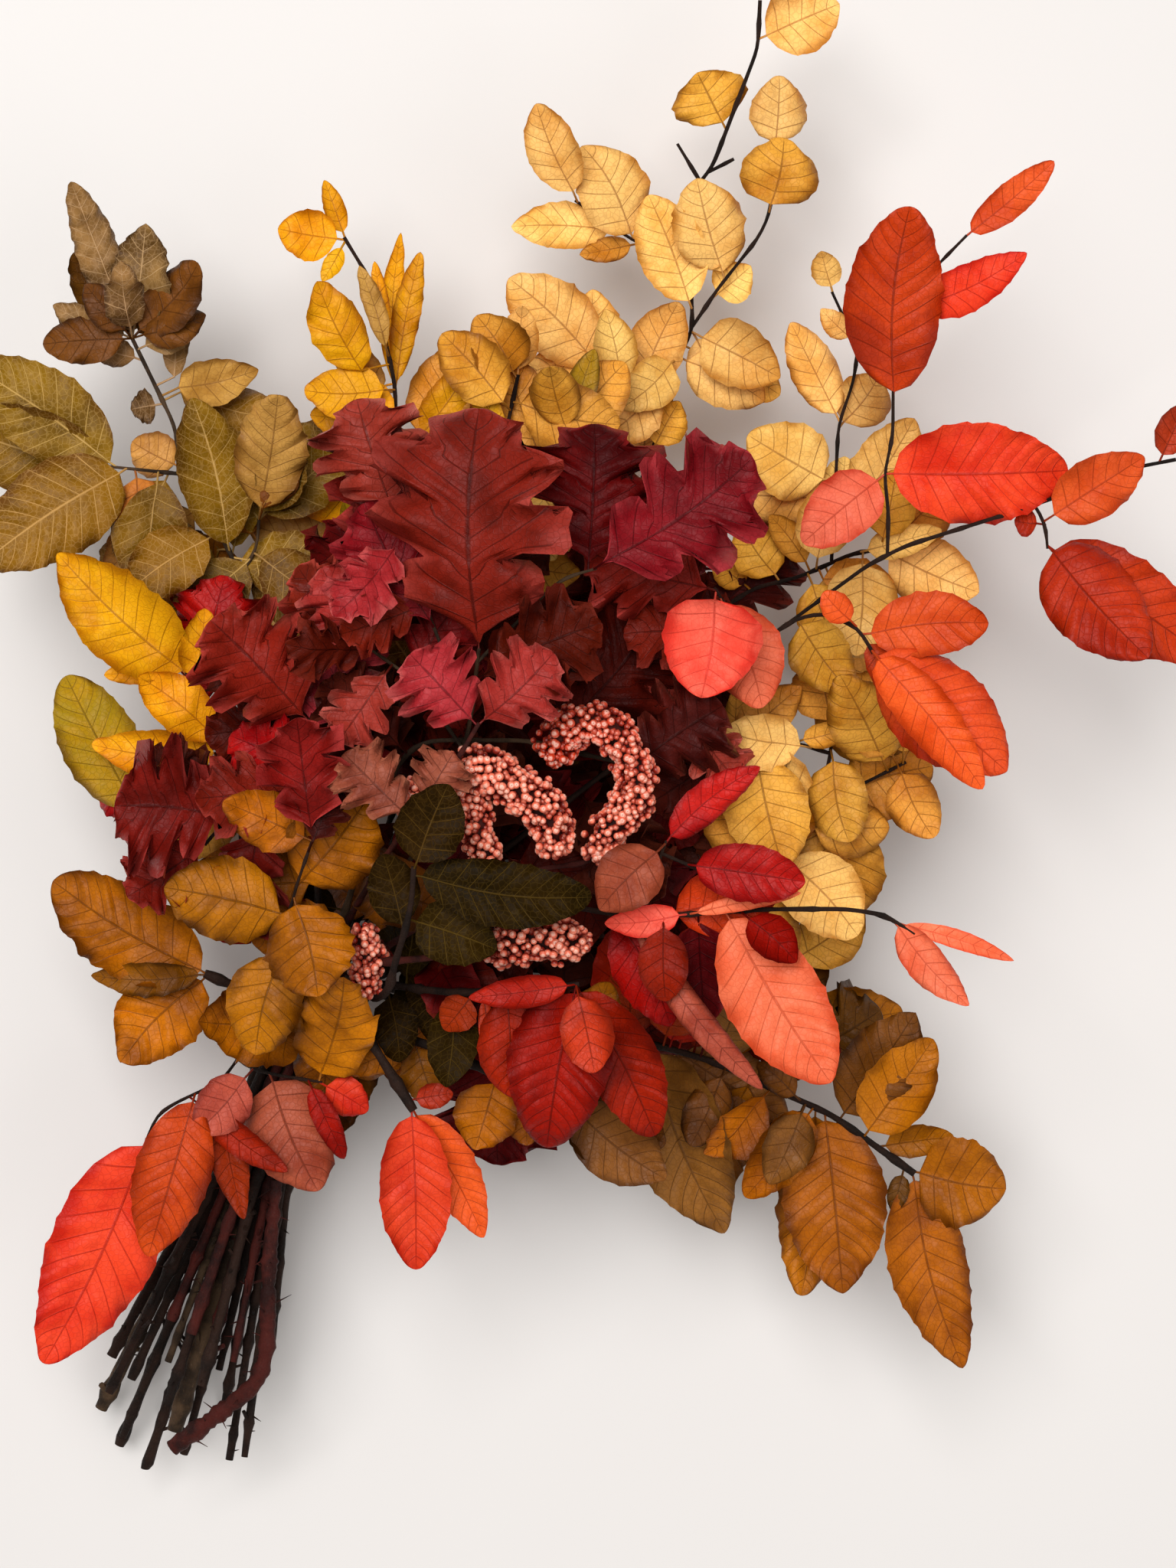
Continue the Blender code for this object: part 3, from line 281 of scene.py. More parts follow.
                 (131, 58, 181, -2, 25),
                 (124, 74, 108, 88, 14), (52, 90, 52, 40, 46), (64, 88, 80, 35, 34)]),
    dict(name="red_beech_branch_lower_right", row=1, cut=156, tilt=4,
         tones="coral coral coral darkRed duskyPink darkRed coral coral crimson crimson duskyPink",
         stem=[(-44, -58, 116), (-4, -57, 138), (20, -61, 151), (44, -60, 156), (98, -57, 158),
               (136, -60, 158), (150, -69, 157)],
         twigs=[[(20, -61, 154), (30, -42, 158), (36, -26, 160)], [(34, -32, 159), (50, -38, 160),
                 (62, -44, 160)]],
         leaves=[(46, -60, 8, -64, 15), (46, -59, 98, -50, 8), (63, -60, 112, -138, 45),
                 (70, -59, 96, -82, 20),
                 (20, -62, 80, -140, 14), (12, -62, 38, -111, 32), (140, -62, 175, -102, 18),
                 (142, -63, 195, -81, 9), (46, -36, 100, -45, 27), (38, -24, 79, 8, 18),
                 (36, -27, 5, -58, 30)]),
    dict(name="ochre_beech_branch_low", row=1, cut=98, tilt=2,
         tones="ochre ochre darkOchre ochre ochre darkOchre darkOchre",
         stem=[(-92, -114, 84), (-76, -119, 100), (-58, -126, 110), (-40, -135, 114), (-8, -147, 114)],
         twigs=[],
         leaves=[(-94, -112, -66, -134, 32, -10), (-80, -118, -112, -132, 15),
                 (-80, -118, -70, -148, 22),
                 (-42, -134, -52, -168, 30), (-30, -139, -28, -166, 20), (-8, -147, 15, -173, 25),
                 (-96, -114, -113, -160, 18)]),
    dict(name="ochre_beech_branch_left", row=2, cut=150, tilt=4,
         tones="ochre ochre ochre ochre ochre darkOchre ochre darkGreen",
         stem=[(-150, -95, 98), (-162, -93, 104), (-176, -87, 107)],
         twigs=[[(-137, -99, 76), (-140, -82, 112), (-136, -54, 148), (-126, -24, 156)]],
         leaves=[(-133, -48, -102, -8, 44), (-127, -26, -168, -8, 27), (-134, -52, -124, -98, 42),
                 (-174, -87, -245, -45, 42), (-176, -88, -215, -128, 38), (-176, -88, -228, -88, 16),
                 (-136, -66, -172, -38, 14), (-148, -98, -163, -120, 20)]),
    dict(name="burgundy_oak_branch_centre", row=2, cut=108, tilt=4, kind="oak",
         tones="raspberry raspberry duskyRose duskyRose",
         stem=[(-84, -20, 172), (-62, 8, 184), (-50, 28, 190)],
         twigs=[],
         leaves=[(-50, 28, -82, 60, 44), (-50, 28, -16, 60, 42), (-82, -16, -112, 14, 36),
                 (-78, -12, -62, 14, 30)]),
    dict(name="dark_green_branch", row=2, cut=144, tilt=2,
         tones="darkGreen darkGreen darkGreen darkGreen",
         stem=[(-98, -98, 116), (-91, -93, 148), (-87, -75, 172), (-82, -62, 180), (-80, -38, 186)],
         twigs=[],
         leaves=[(-80, -42, 2, -52, 31), (-80, -38, -64, 0, 32), (-82, -62, -42, -76, 30),
                 (-86, -68, -94, -32, 24)]),
    dict(name="berry_branch_left", row=2, cut=122, tilt=0,
         stem=[(-70, -60, 150), (-52, -44, 156)],
         twigs=[],
         heads=[((-82, -10, 162), (-68, -3, 166), (-60, 0, 168), (-52, 8, 169), (-40, 2, 169),
                  (-28, -5, 168),
                 (-18, -15, 166), (-15, -28, 163), 9.6),
                ((-52, -44, 156), (-46, -36, 160), (-50, -25, 162), (-51, -12, 163), (-58, -2, 165), 6.6)],
         leaves=[]),
    dict(name="berry_branch_right", row=2, cut=114, tilt=0,
         stem=[(-34, -42, 142), (4, -34, 152), (7, -26, 156)],
         twigs=[],
         heads=[((-15, 13, 158), (-12, 24, 160), (0, 28, 161), (10, 25, 161), (18, 15, 161), (22, 5, 160),
                 (22, -5, 159), (16, -14, 158), (8, -24, 157), (6, -32, 155), 8.6)],
         leaves=[]),
    dict(name="red_beech_branch_lower_centre", row=2, cut=152, tilt=0,
         tones="crimson darkRed darkRed darkRed crimson",
         stem=[(-60, -96, 142), (-30, -94, 156), (-4, -92, 160)],
         twigs=[],
         leaves=[(-4, -92, -54, -98, 15, 8), (-5, -93, -19, -167, 48), (-5, -92, 31, -162, 34, -6),
                 (-52, -95, -66, -113, 18), (-48, -95, -45, -127, 8)]),
    dict(name="berry_branch_low", row=3, cut=110, tilt=0,
         stem=[(-122, -92, 104), (-108, -84, 126), (-98, -82, 134), (-74, -80, 146), (-42, -74, 150)],
         twigs=[],
         heads=[((-104, -94, 128), (-101, -84, 132), (-103, -68, 138), 6.6),
                ((-44, -74, 150), (-32, -72, 154), (-4, -72, 156), 9.6)],
         leaves=[]),
    dict(name="red_beech_branch_hanging", row=3, cut=130, tilt=0,
         tones="scarlet scarlet crimson",
         stem=[(-112, -104, 104), (-98, -121, 114), (-86, -140, 114), (-80, -150, 115)],
         twigs=[],
         leaves=[(-82, -149, -79, -223, 33), (-81, -149, -48, -208, 25, -6),
                 (-84, -146, -62, -142, 12)]),
]


# Move a point from where it shows to where it is, in metres
def trueSize(point):
    shrink = 1.0 - (point[2] - view["gripHeight"]) / view["eyeDistance"]
    across, up = view["layCentre"]
    return Vector((point[0] * shrink - across, point[1] * shrink - up, point[2])) * 0.001


# Points about a spacing apart on a centripetal curve through the given points
def smoothPath(points, spacing):
    knots = [Vector(p) for p in points]
    knots = [knots[0] * 2 - knots[1]] + knots + [knots[-1] * 2 - knots[-2]]
    path = []
    for i in range(1, len(knots) - 2):
        p0, p1, p2, p3 = knots[i - 1:i + 3]
        t1 = (p1 - p0).length ** 0.5
        t2 = t1 + (p2 - p1).length ** 0.5
        t3 = t2 + (p3 - p2).length ** 0.5
        steps = max(1, round((p2 - p1).length / spacing))
        for k in range(steps):
            t = t1 + (t2 - t1) * k / steps
            a1 = p0 * ((t1 - t) / t1) + p1 * (t / t1)
            a2 = p1 * ((t2 - t) / (t2 - t1)) + p2 * ((t - t1) / (t2 - t1))
            a3 = p2 * ((t3 - t) / (t3 - t2)) + p3 * ((t - t2) / (t3 - t2))
            b1 = a1 * ((t2 - t) / t2) + a2 * (t / t2)
            b2 = a2 * ((t3 - t) / (t3 - t1)) + a3 * ((t - t1) / (t3 - t1))
            path.append(b1 * ((t2 - t) / (t2 - t1)) + b2 * ((t - t1) / (t2 - t1)))
    path.append(knots[-2])
    return path


# A main stem's points: its cut end, the two ends of its slot in the grip, and its fan
def stemPoints(branch):
    rowMates = [other["name"] for other in branches if other["row"] == branch["row"]]
    column = rowMates.index(branch["name"]) - (len(rowMates) - 1) / 2
    side = grip["side"] * (column * grip["pitch"])
    rise = Vector((0.0, 0.0, branch["row"] * grip["rise"]))
    low = grip["point"] - grip["axis"] * grip["halfLength"] + side + rise
    high = grip["point"] + grip["axis"] * grip["halfLength"] + side + rise
    below = branch["cut"] - grip["halfLength"]
    spread = (side + rise) * grip["cutSpread"] + grip["side"] * grip["cutDrift"]
    cutEnd = low - grip["axis"] * below + spread * below
    cutEnd.z = grip["lowestCut"] if branch["row"] == grip["lowestRow"] else cutEnd.z - grip["cutDrop"] * below
    points = [high, high + grip["axis"] * grip["lead"]]
    fan = [Vector(p) for p in branch["stem"]]
    if fan and (fan[0] - points[-1]).length > 2 * grip["fanLength"]:
        toFan = (fan[0] - points[-1]).normalized()
        heading = grip["axis"] * grip["fanEase"] + toFan * (1 - grip["fanEase"])
        points.append(points[-1] + heading * grip["fanLength"])
    return cutEnd, low, points + fan


# The fewest points of a path that stay within the slack of it
def straightened(path, slack):
    start, end = path[0], path[-1]
    along = (end - start).normalized()
    offsets = [((p - start) - along * (p - start).dot(along)).length for p in path]
    worst = max(range(len(path)), key=lambda k: offsets[k])
    if offsets[worst] <= slack:
        return [start, end]
    return straightened(path[:worst + 1], slack)[:-1] + straightened(path[worst:], slack)


# Path and end radii of a branch's stem and twigs, each twig starting on what carries it
def branchTubes(branch):
    cutEnd, low, fan = stemPoints(branch)
    stem = [cutEnd, low] + straightened(smoothPath(fan, stems["spacing"]), stems["slack"])
    tubes = [(stem, stems["radius"], stems["twigRadius"])]
    for twig in branch["twigs"]:
        start = nearestOnTubes(tubes, twig[0][0], twig[0][1])
        path = straightened(smoothPath([start] + list(twig[1:]), stems["spacing"]), stems["slack"])
        tubes.append((path, stems["twigRadius"] - stems["twigStep"], stems["tipRadius"]))
    return tubes


# Radius at each point: even through the grip, its own at the cut end and slim at the tip
def stemRadii(path, startRadius, endRadius, isMain, branchNumber):
    cutRadius = stems["radius"] * random.Random(stems["girthSeed"] + branchNumber).uniform(*stems["girth"])
    radii = []
    total = sum((b - a).length for a, b in zip(path[:-1], path[1:]))
    run = 0.0
    for i, point in enumerate(path):
        if i:
            run += (point - path[i - 1]).length
        below = (grip["point"] - point).dot(grip["axis"]) - grip["halfLength"]
        above = (point - grip["point"]).dot(grip["axis"]) - grip["halfLength"]
        if isMain and below > 0:
            share = min(1.0, max(0.0, below - stems["cutTaper"][0]) / stems["cutTaper"][1])
            radii.append(startRadius + (cutRadius - startRadius) * share)
        elif isMain:
            share = max(0.0, min(1.0, above / stems["fanTaper"]))
            radii.append(startRadius + (endRadius - startRadius) * share)
        else:
            radii.append(startRadius + (endRadius - startRadius) * run / total)
    return radii


# A closed tube along a path, with flat ends
def tubeMesh(path, radii, sides):
    verts = []
    faces = []
    count = len(path)
    for i, point in enumerate(path):
        ahead = (path[min(i + 1, count - 1)] - path[max(i - 1, 0)]).normalized()
        across = Vector((ahead.y, -ahead.x, 0.0)).normalized()
        over = across.cross(ahead)
        for k in range(sides):
            angle = 2 * math.pi * k / sides
            verts.append(point + (across * math.cos(angle) + over * math.sin(angle)) * radii[i])
    for i in range(count - 1):
        for k in range(sides):
            a = i * sides + k
            b = i * sides + (k + 1) % sides
            faces += [(a, b, b + sides), (a, b + sides, a + sides)]
    for k in range(1, sides - 1):
        faces.append((0, k + 1, k))
        last = (count - 1) * sides
        faces.append((last, last + k, last + k + 1))
    return verts, faces


# Half width of a blade at u, from 0 at its base to 1 at its tip, as a share of the widest
def halfWidthShare(kind, u):
    if kind == "oak":
        for i in range(len(blades["oakStations"]) - 1):
            if u <= blades["oakStations"][i + 1]:
                before, after = blades["oakStations"][i:i + 2]
                first, last = blades["oakHalfWidths"][i:i + 2]
                return first + (last - first) * ((u - before) / (after - before))
    return math.sin(math.pi * min(u, 1.0) ** 0.85) ** 0.75 if 0.0 < u < 1.0 else 0.0


# A point of a blade's middle surface, v running from -1 at one edge to 1 at the other
def bladePoint(pose, u, v, grow=0.0):
    half = max(pose["halfWidth"] * halfWidthShare(pose["kind"], u), blades["petioleHalfWidth"]) + grow
    side = abs(v) * half
    turn = 2 * math.pi * pose["waves"] * u + pose["phase"] + (blades["ruffleLag"] if v > 0 else 0.0)
    rise = pose["bow"] * pose["length"] * 4 * u * (1 - u)
    rise += side * (pose["foldLeft"] if v < 0 else pose["foldRight"])
    rise += side * v * v * pose["ruffle"] * math.sin(turn)
    along = pose["length"] * u
    if pose["kind"] == "oak":
        along += blades["oakSweep"] * pose["length"] * side / pose["halfWidth"]
    return pose["base"] + pose["ahead"] * along + pose["across"] * (half * v) + pose["normal"] * rise


# A closed thin blade with its petiole, or only its part from the station first outwards
def bladeMesh(pose, grow=0.0, first=0.0):
    if pose["kind"] == "oak":
        stations = blades["oakStations"]
    else:
        stations = blades["beechStations"][pose["size"]]
    columns = (-1.0, 1.0) if pose["size"] == "small" and pose["kind"] == "beech" else (-1.0, 0.0, 1.0)
    stations = [first] + [u for u in stations if u > first]
    rows = []
    if first == 0.0:
        reach = pose["base"] - pose["root"]
        aside = Vector((reach.y, -reach.x, 0.0)).normalized()
        if aside.dot(pose["across"]) < 0.2:
            aside = pose["across"]
        rows.append([pose["root"] + aside * (blades["petioleHalfWidth"] + grow) * v for v in columns])
    for u in stations:
        rows.append([bladePoint(pose, u, v, grow) for v in columns])
    if grow:
        for k in range(len(columns)):
            rows[-1][k] = rows[-1][k] + pose["ahead"] * grow
    lift = pose["normal"] * (blades["solidThickness"] / 2 + grow)
    verts = [p + lift for row in rows for p in row] + [p - lift for row in rows for p in row]
    width = len(columns)
    below = len(rows) * width
    faces = []
    for i in range(len(rows) - 1):
        for j in range(width - 1):
            a = i * width + j
            b, c, d = a + 1, a + 1 + width, a + width
            faces += [(a, b, c), (a, c, d)]
            faces += [(below + a, below + c, below + b), (below + a, below + d, below + c)]
        for edge in (0, width - 1):
            a = i * width + edge
            c = a + width
            rim = [(a, c, below + c), (a, below + c, below + a)]
            faces += rim if edge == 0 else [tuple(reversed(f)) for f in rim]
    for j in range(width - 1):
        a = j
        faces += [(a, below + a, below + a + 1), (a, below + a + 1, a + 1)]
        a = (len(rows) - 1) * width + j
        faces += [(a, a + 1, below + a + 1), (a, below + a + 1, below + a)]
    return verts, faces


# Where a blade lies: its base, its three directions and its form
def leafPose(leaf, root, kind, tilt, roll, lift, share, dice):
    base = Vector((leaf[0], leaf[1], root.z + lift))
    reach = base.xy - root.xy
    toTip = Vector((leaf[2] - root.x, leaf[3] - root.y)).normalized()
    need = max(placing["petioleLength"], placing["petioleSlope"] * abs(lift))
    if reach.length < need or reach.dot(toTip) < 0.4 * reach.length:
        base.x = root.x + toTip.x * need
        base.y = root.y + toTip.y * need
    run = Vector((leaf[2] - base.x, leaf[3] - base.y, 0.0)) * share
    ahead = Vector((run.x, run.y, run.length * math.tan(math.radians(tilt))))
    length = ahead.length
    ahead.normalize()
    across = Vector((ahead.y, -ahead.x, 0.0)).normalized()
    across = Matrix.Rotation(math.radians(roll), 3, ahead) @ across
    width = leaf[4] * share
    size = "small" if width < blades["smallWidth"] else "large"
    pose = dict(root=root, base=base, ahead=ahead, across=across, normal=across.cross(ahead),
                kind=kind, size=size, length=length, halfWidth=width / 2)
    pose.update(dice)
    return pose


# The small differences from leaf to leaf, drawn from the leaf's own seed
def leafDice(kind, leafNumber, branchNumber, resting):
    if resting:
        return dict(bow=0.0, foldLeft=0.0, foldRight=0.0, ruffle=0.0, waves=0.0, phase=0.0)
    draw = random.Random(1000 * branchNumber + leafNumber)
    fold = draw.uniform(*blades["fold"])
    ruffle, waves = blades["ruffles"][kind]
    return dict(bow=draw.uniform(*blades["bow"]),
                foldLeft=fold + draw.uniform(-blades["foldDrift"], blades["foldDrift"]),
                foldRight=fold + draw.uniform(-blades["foldDrift"], blades["foldDrift"]), ruffle=ruffle,
                waves=waves, phase=draw.uniform(0, 2 * math.pi))


# The point of a branch's stem or twigs that shows nearest to a place
def nearestOnTubes(tubes, x, y):
    best = None
    here = Vector((x, y))
    for path, _, _ in tubes:
        for a, b in zip(path[:-1], path[1:]):
            flat = Vector((b.x - a.x, b.y - a.y))
            t = 0.5
            if flat.length > 0.001:
                t = max(0.0, min(1.0, (here - a.xy).dot(flat) / flat.length_squared))
            if b is path[-1]:
                t = min(t, 1.0 - stems["tipRadius"] * 1.4 / (b - a).length)
            point = a.lerp(b, t)
            far = (point.xy - here).length
            if best is None or far < best[0]:
                best = (far, point)
    return best[1]


# A search tree of a mesh with the corners of its box
def solidTree(mesh):
    verts, faces = mesh
    low = [min(v[k] for v in verts) for k in range(3)]
    high = [max(v[k] for v in verts) for k in range(3)]
    return dict(tree=BVHTree.FromPolygons(verts, faces), low=low, high=high)


# Whether two search trees cross
def touches(one, other):
    for k in range(3):
        if one["low"][k] > other["high"][k] or other["low"][k] > one["high"][k]:
            return False
    return bool(one["tree"].overlap(other["tree"]))


# Changes of tilt, roll and lift, the mildest first
def tiltChoices():
    choices = []
    for tilt in placing["tilts"]:
        for roll in placing["rolls"]:
            for lift in placing["lifts"]:
                cost = abs(tilt) + 0.7 * abs(roll) + 1.5 * abs(lift) + (2 if tilt > 0 else 0)
                choices.append((cost, tilt, roll, lift))
    return sorted(choices)


# The highest point that a branch's stem and twigs are given
def topOf(branch):
    return max(point[2] for path in [branch["stem"]] + branch["twigs"] for point in path)


# Give every leaf a pose in which it crosses no other branch and no blade of its own
def placeLeaves(branchTubesByName, blocked):
    poses = {branch["name"]: [] for branch in branches}
    dropped = []
    choices = tiltChoices()
    def turnOf(number):
        branch = branches[number]
        return (not branch.get("resting"), -topOf(branch))

    for branchNumber in sorted(range(len(branches)), key=turnOf):
        branch = branches[branchNumber]
        tubes = branchTubesByName[branch["name"]]
        listed = [(leaf, True) for leaf in branch.get("resting", [])]
        listed += [(leaf, False) for leaf in branch["leaves"]]
        for leafNumber, (leaf, resting) in enumerate(listed):
            kind = leaf[6] if len(leaf) > 6 else branch.get("kind", "beech")
            tilt = leaf[5] if len(leaf) > 5 else branch["tilt"]
            root = nearestOnTubes(tubes, leaf[0], leaf[1])
            dice = leafDice(kind, leafNumber, branchNumber, resting)
            if resting:
                lift = blades["solidThickness"] / 2 - root.z
                pose = leafPose(leaf, root, kind, 0, 0, lift, 1.0, dice)
                keepPose(pose, branch["name"], poses, blocked)
                continue
            pose = firstClearPose(leaf, root, kind, tilt, dice, branch["name"], choices, blocked)
            if pose is None:
                dropped.append((branch["name"], leafNumber))
            else:
                keepPose(pose, branch["name"], poses, blocked)
    return poses, dropped


# Remember a placed leaf and the room that it takes
def keepPose(pose, name, poses, blocked):
    poses[name].append(pose)
    blocked.append(dict(name=name, whole=solidTree(bladeMesh(pose, placing["clearance"])),
                        outer=solidTree(bladeMesh(pose, placing["clearance"], placing["freeShare"]))))


# The mildest change of pose that clears everything placed so far, or None
def firstClearPose(leaf, root, kind, tilt, dice, name, choices, blocked):
    for share in placing["sizes"]:
        for _, tiltChange, roll, lift in choices:
            if abs(tilt + tiltChange) > placing["steepest"]:
                continue
            pose = leafPose(leaf, root, kind, tilt + tiltChange, roll, lift, share, dice)
            petiole = pose["base"] - root
            if petiole.dot(pose["ahead"]) < placing["leastForward"] * petiole.length:
                continue
            whole = solidTree(bladeMesh(pose, placing["clearance"]))
            if whole["low"][2] < placing["lowestLeaf"]:
                continue
            outer = solidTree(bladeMesh(pose, placing["clearance"], placing["freeShare"]))
            own = [item["outer"] for item in blocked if item["name"] == name]
            others = [item["whole"] for item in blocked if item["name"] != name]
            if any(touches(outer, item) for item in own):
                continue
            if not any(touches(whole, item) for item in others):
                return pose
    return None


# Fine pieces

fineLeaf = {
    "veinSpacing": 6.6,     # along the midrib
    "pairs": (5, 11),
    "rowsPerVein": {"shown": 4, "fill": 3},
    "columns": {"shown": 6, "fill": 4},     # on each side of the midrib
    "oakRows": {"shown": 46, "fill": 34},
    "sweep": 0.85,          # how far a vein runs forward for its reach
    "most": 0.22,
    "thickness": 0.34,
    "pleat": {"beech": 0.06, "oak": 0.05},   # of the half width
    "tooth": 0.035,
    "ragged": 0.05,
    "edgeWave": 0.09,
    "outline": {"widest": (0.76, 0.98), "round": (0.50, 0.64), "point": (0.0, 0.18)},
    "oakHalfWidths": (0.05, 0.68, 0.40, 1.0, 0.56, 0.94, 0.46, 0.22),
    "lobeWidth": 1.75,
    "oakTeeth": (0.065, 15.0),
    "oakRuffle": (0.38, 5.6),
    "tipHalf": 0.15,
    "forms": {"twist": 0.24, "roll": 0.30, "tipCurl": 1.0, "bend": 0.05, "curl": 0.55},
    "crumple": ((1.5, 0.06), (0.55, 0.17)),   # height and how often
    "crisp": {"crumpled": 3.2, "tan": 2.0, "olive": 1.3, "yellow": 1.6, "gold": 1.3, "darkGold": 1.6,
              "wine": 1.7, "burgundy": 1.5, "raspberry": 1.5, "maroon": 1.7, "duskyRose": 1.6, "rust": 1.7,
              "ochre": 2.5, "darkOchre": 2.5, "amber": 1.6, "brown": 1.8},
    "rib": (0.55, 0.16),
    "ribSides": 6,
    "ribEnd": 0.93,
    "ribSteps": 14,
    "sharpFrom": 55.0,      # degrees between faces
    "smallHalf": 8.0,       # a narrower part crumples less
}

fineStem = {
    "spacing": 4.0,
    "rounding": 2,
    "sides": 10,
    "twigSides": 8,
    "fanShare": 0.66,       # how slim the stems and twigs get beyond the grip
    "fanEase": 110.0,
    "knotEvery": (18.0, 40.0),
    "knotRise": 0.42,
    "knotLength": 2.8,
    "lump": 0.16,
    "stubReach": (4.0, 11.0),
    "stubShare": 0.5,
    "stubOften": 0.08,
    "stubSides": 7,
    "prickleRows": (1, 2, 3),
    "prickleEvery": (5.0, 16.0),
    "prickleReach": (3.0, 9.0),
    "prickleSizes": (0.6, 0.4, 0.12),
    "prickleSides": 5,
    "thick": {"burgundy_oak_branch_top": 2.1, "olive_beech_branch": 1.3, "ochre_beech_branch_left": 1.25},
    "crooked": {
        "branch": "berry_branch_left",
        "path": [(-143, -182, 77), (-146, -215, 76), (-147, -240, 74), (-148, -262, 71), (-153, -275, 68),
                 (-168, -288, 62), (-191, -305, 54)],
        "radii": (3.0, 4.2),
        "spacing": 2.0,
        "sides": 12,
    },
}

fineBerry = {
    "radius": (1.4, 2.25),
    "pitch": 3.25,
    "hidden": -0.55,        # how far a berry may face down
    "depth": (-1.3, 0.9),
    "clumps": (3.4, 0.15),
    "gap": (0.24, -0.2),    # how often and how far a gap opens among the berries
    "under": 0.68,          # how deep the second layer of berries lies
    "goldenAngle": 2.39996,
    "core": 0.6,
    "coreSides": 10,
    "tint": {"berry_branch_left": (0.95, 0.7), "berry_branch_right": (0.0, 0.85),
             "berry_branch_low": (0.45, 0.95)},
}


# An empty mesh in the making: points, faces, the face's material and two maps
def newMesh():
    return {"points": [], "faces": [], "slots": [], "veins": [], "draw": []}


def addFaces(mesh, points, faces, slot, veins, draw):
    start = len(mesh["points"])
    mesh["points"] += points
    mesh["faces"] += [tuple(start + k for k in face) for face in faces]
    mesh["slots"] += [slot] * len(faces)
    mesh["veins"] += veins
    mesh["draw"] += draw


def smoothStep(x):
    x = max(0.0, min(1.0, x))
    return x * x * (3 - 2 * x)


# Half width of a fine blade, with rounded lobes on an oak leaf and small teeth at a beech leaf's veins
def fineHalf(pose, u, veinRun, v):
    if pose["kind"] == "oak":
        stations, widths = blades["oakStations"], fineLeaf["oakHalfWidths"]
        share = widths[-1]
        for i in range(len(stations) - 1):
            if u < stations[i + 1]:
                part = (u - stations[i]) / (stations[i + 1] - stations[i])
                wide = fineLeaf["lobeWidth"]  # keeps each lobe broad and each bay narrow
                part = smoothStep(part * wide if widths[i + 1] > widths[i] else part * wide - wide + 1)
                share = widths[i] + (widths[i + 1] - widths[i]) * part
                break
        rise, count = fineLeaf["oakTeeth"]
        share += rise * (abs(2 * ((u * count + 0.4 * math.sin(9 * u)) % 1.0) - 1) - 0.4)
        share += pose["ragged"] * noise.noise(Vector((u * 11, 4.0 if v > 0 else 0.0, pose["raggedAt"])))
        share *= math.sqrt(max(0.0, 1 - max(0.0, (u - 0.86) / 0.14) ** 2)) * min(1.0, 0.1 + 6 * u)
        return max(pose["halfWidth"] * share, fineLeaf["tipHalf"])
    widest, blunt, point = pose["outline"]
    share = math.sin(math.pi * min(u, 1.0) ** widest) ** blunt if 0.0 < u < 1.0 else 0.0
    share *= 1 - point * smoothStep((u - 0.7) / 0.3)
    cusp = (1 - abs(math.sin(math.pi * veinRun))) ** 2
    share += fineLeaf["tooth"] * (cusp - 0.25) * math.sin(math.pi * min(1.0, max(0.0, u)))
    share += pose["ragged"] * noise.noise(Vector((u * 13, 4.0 if v > 0 else 0.0, pose["raggedAt"])))
    return max(pose["halfWidth"] * share, fineLeaf["tipHalf"])


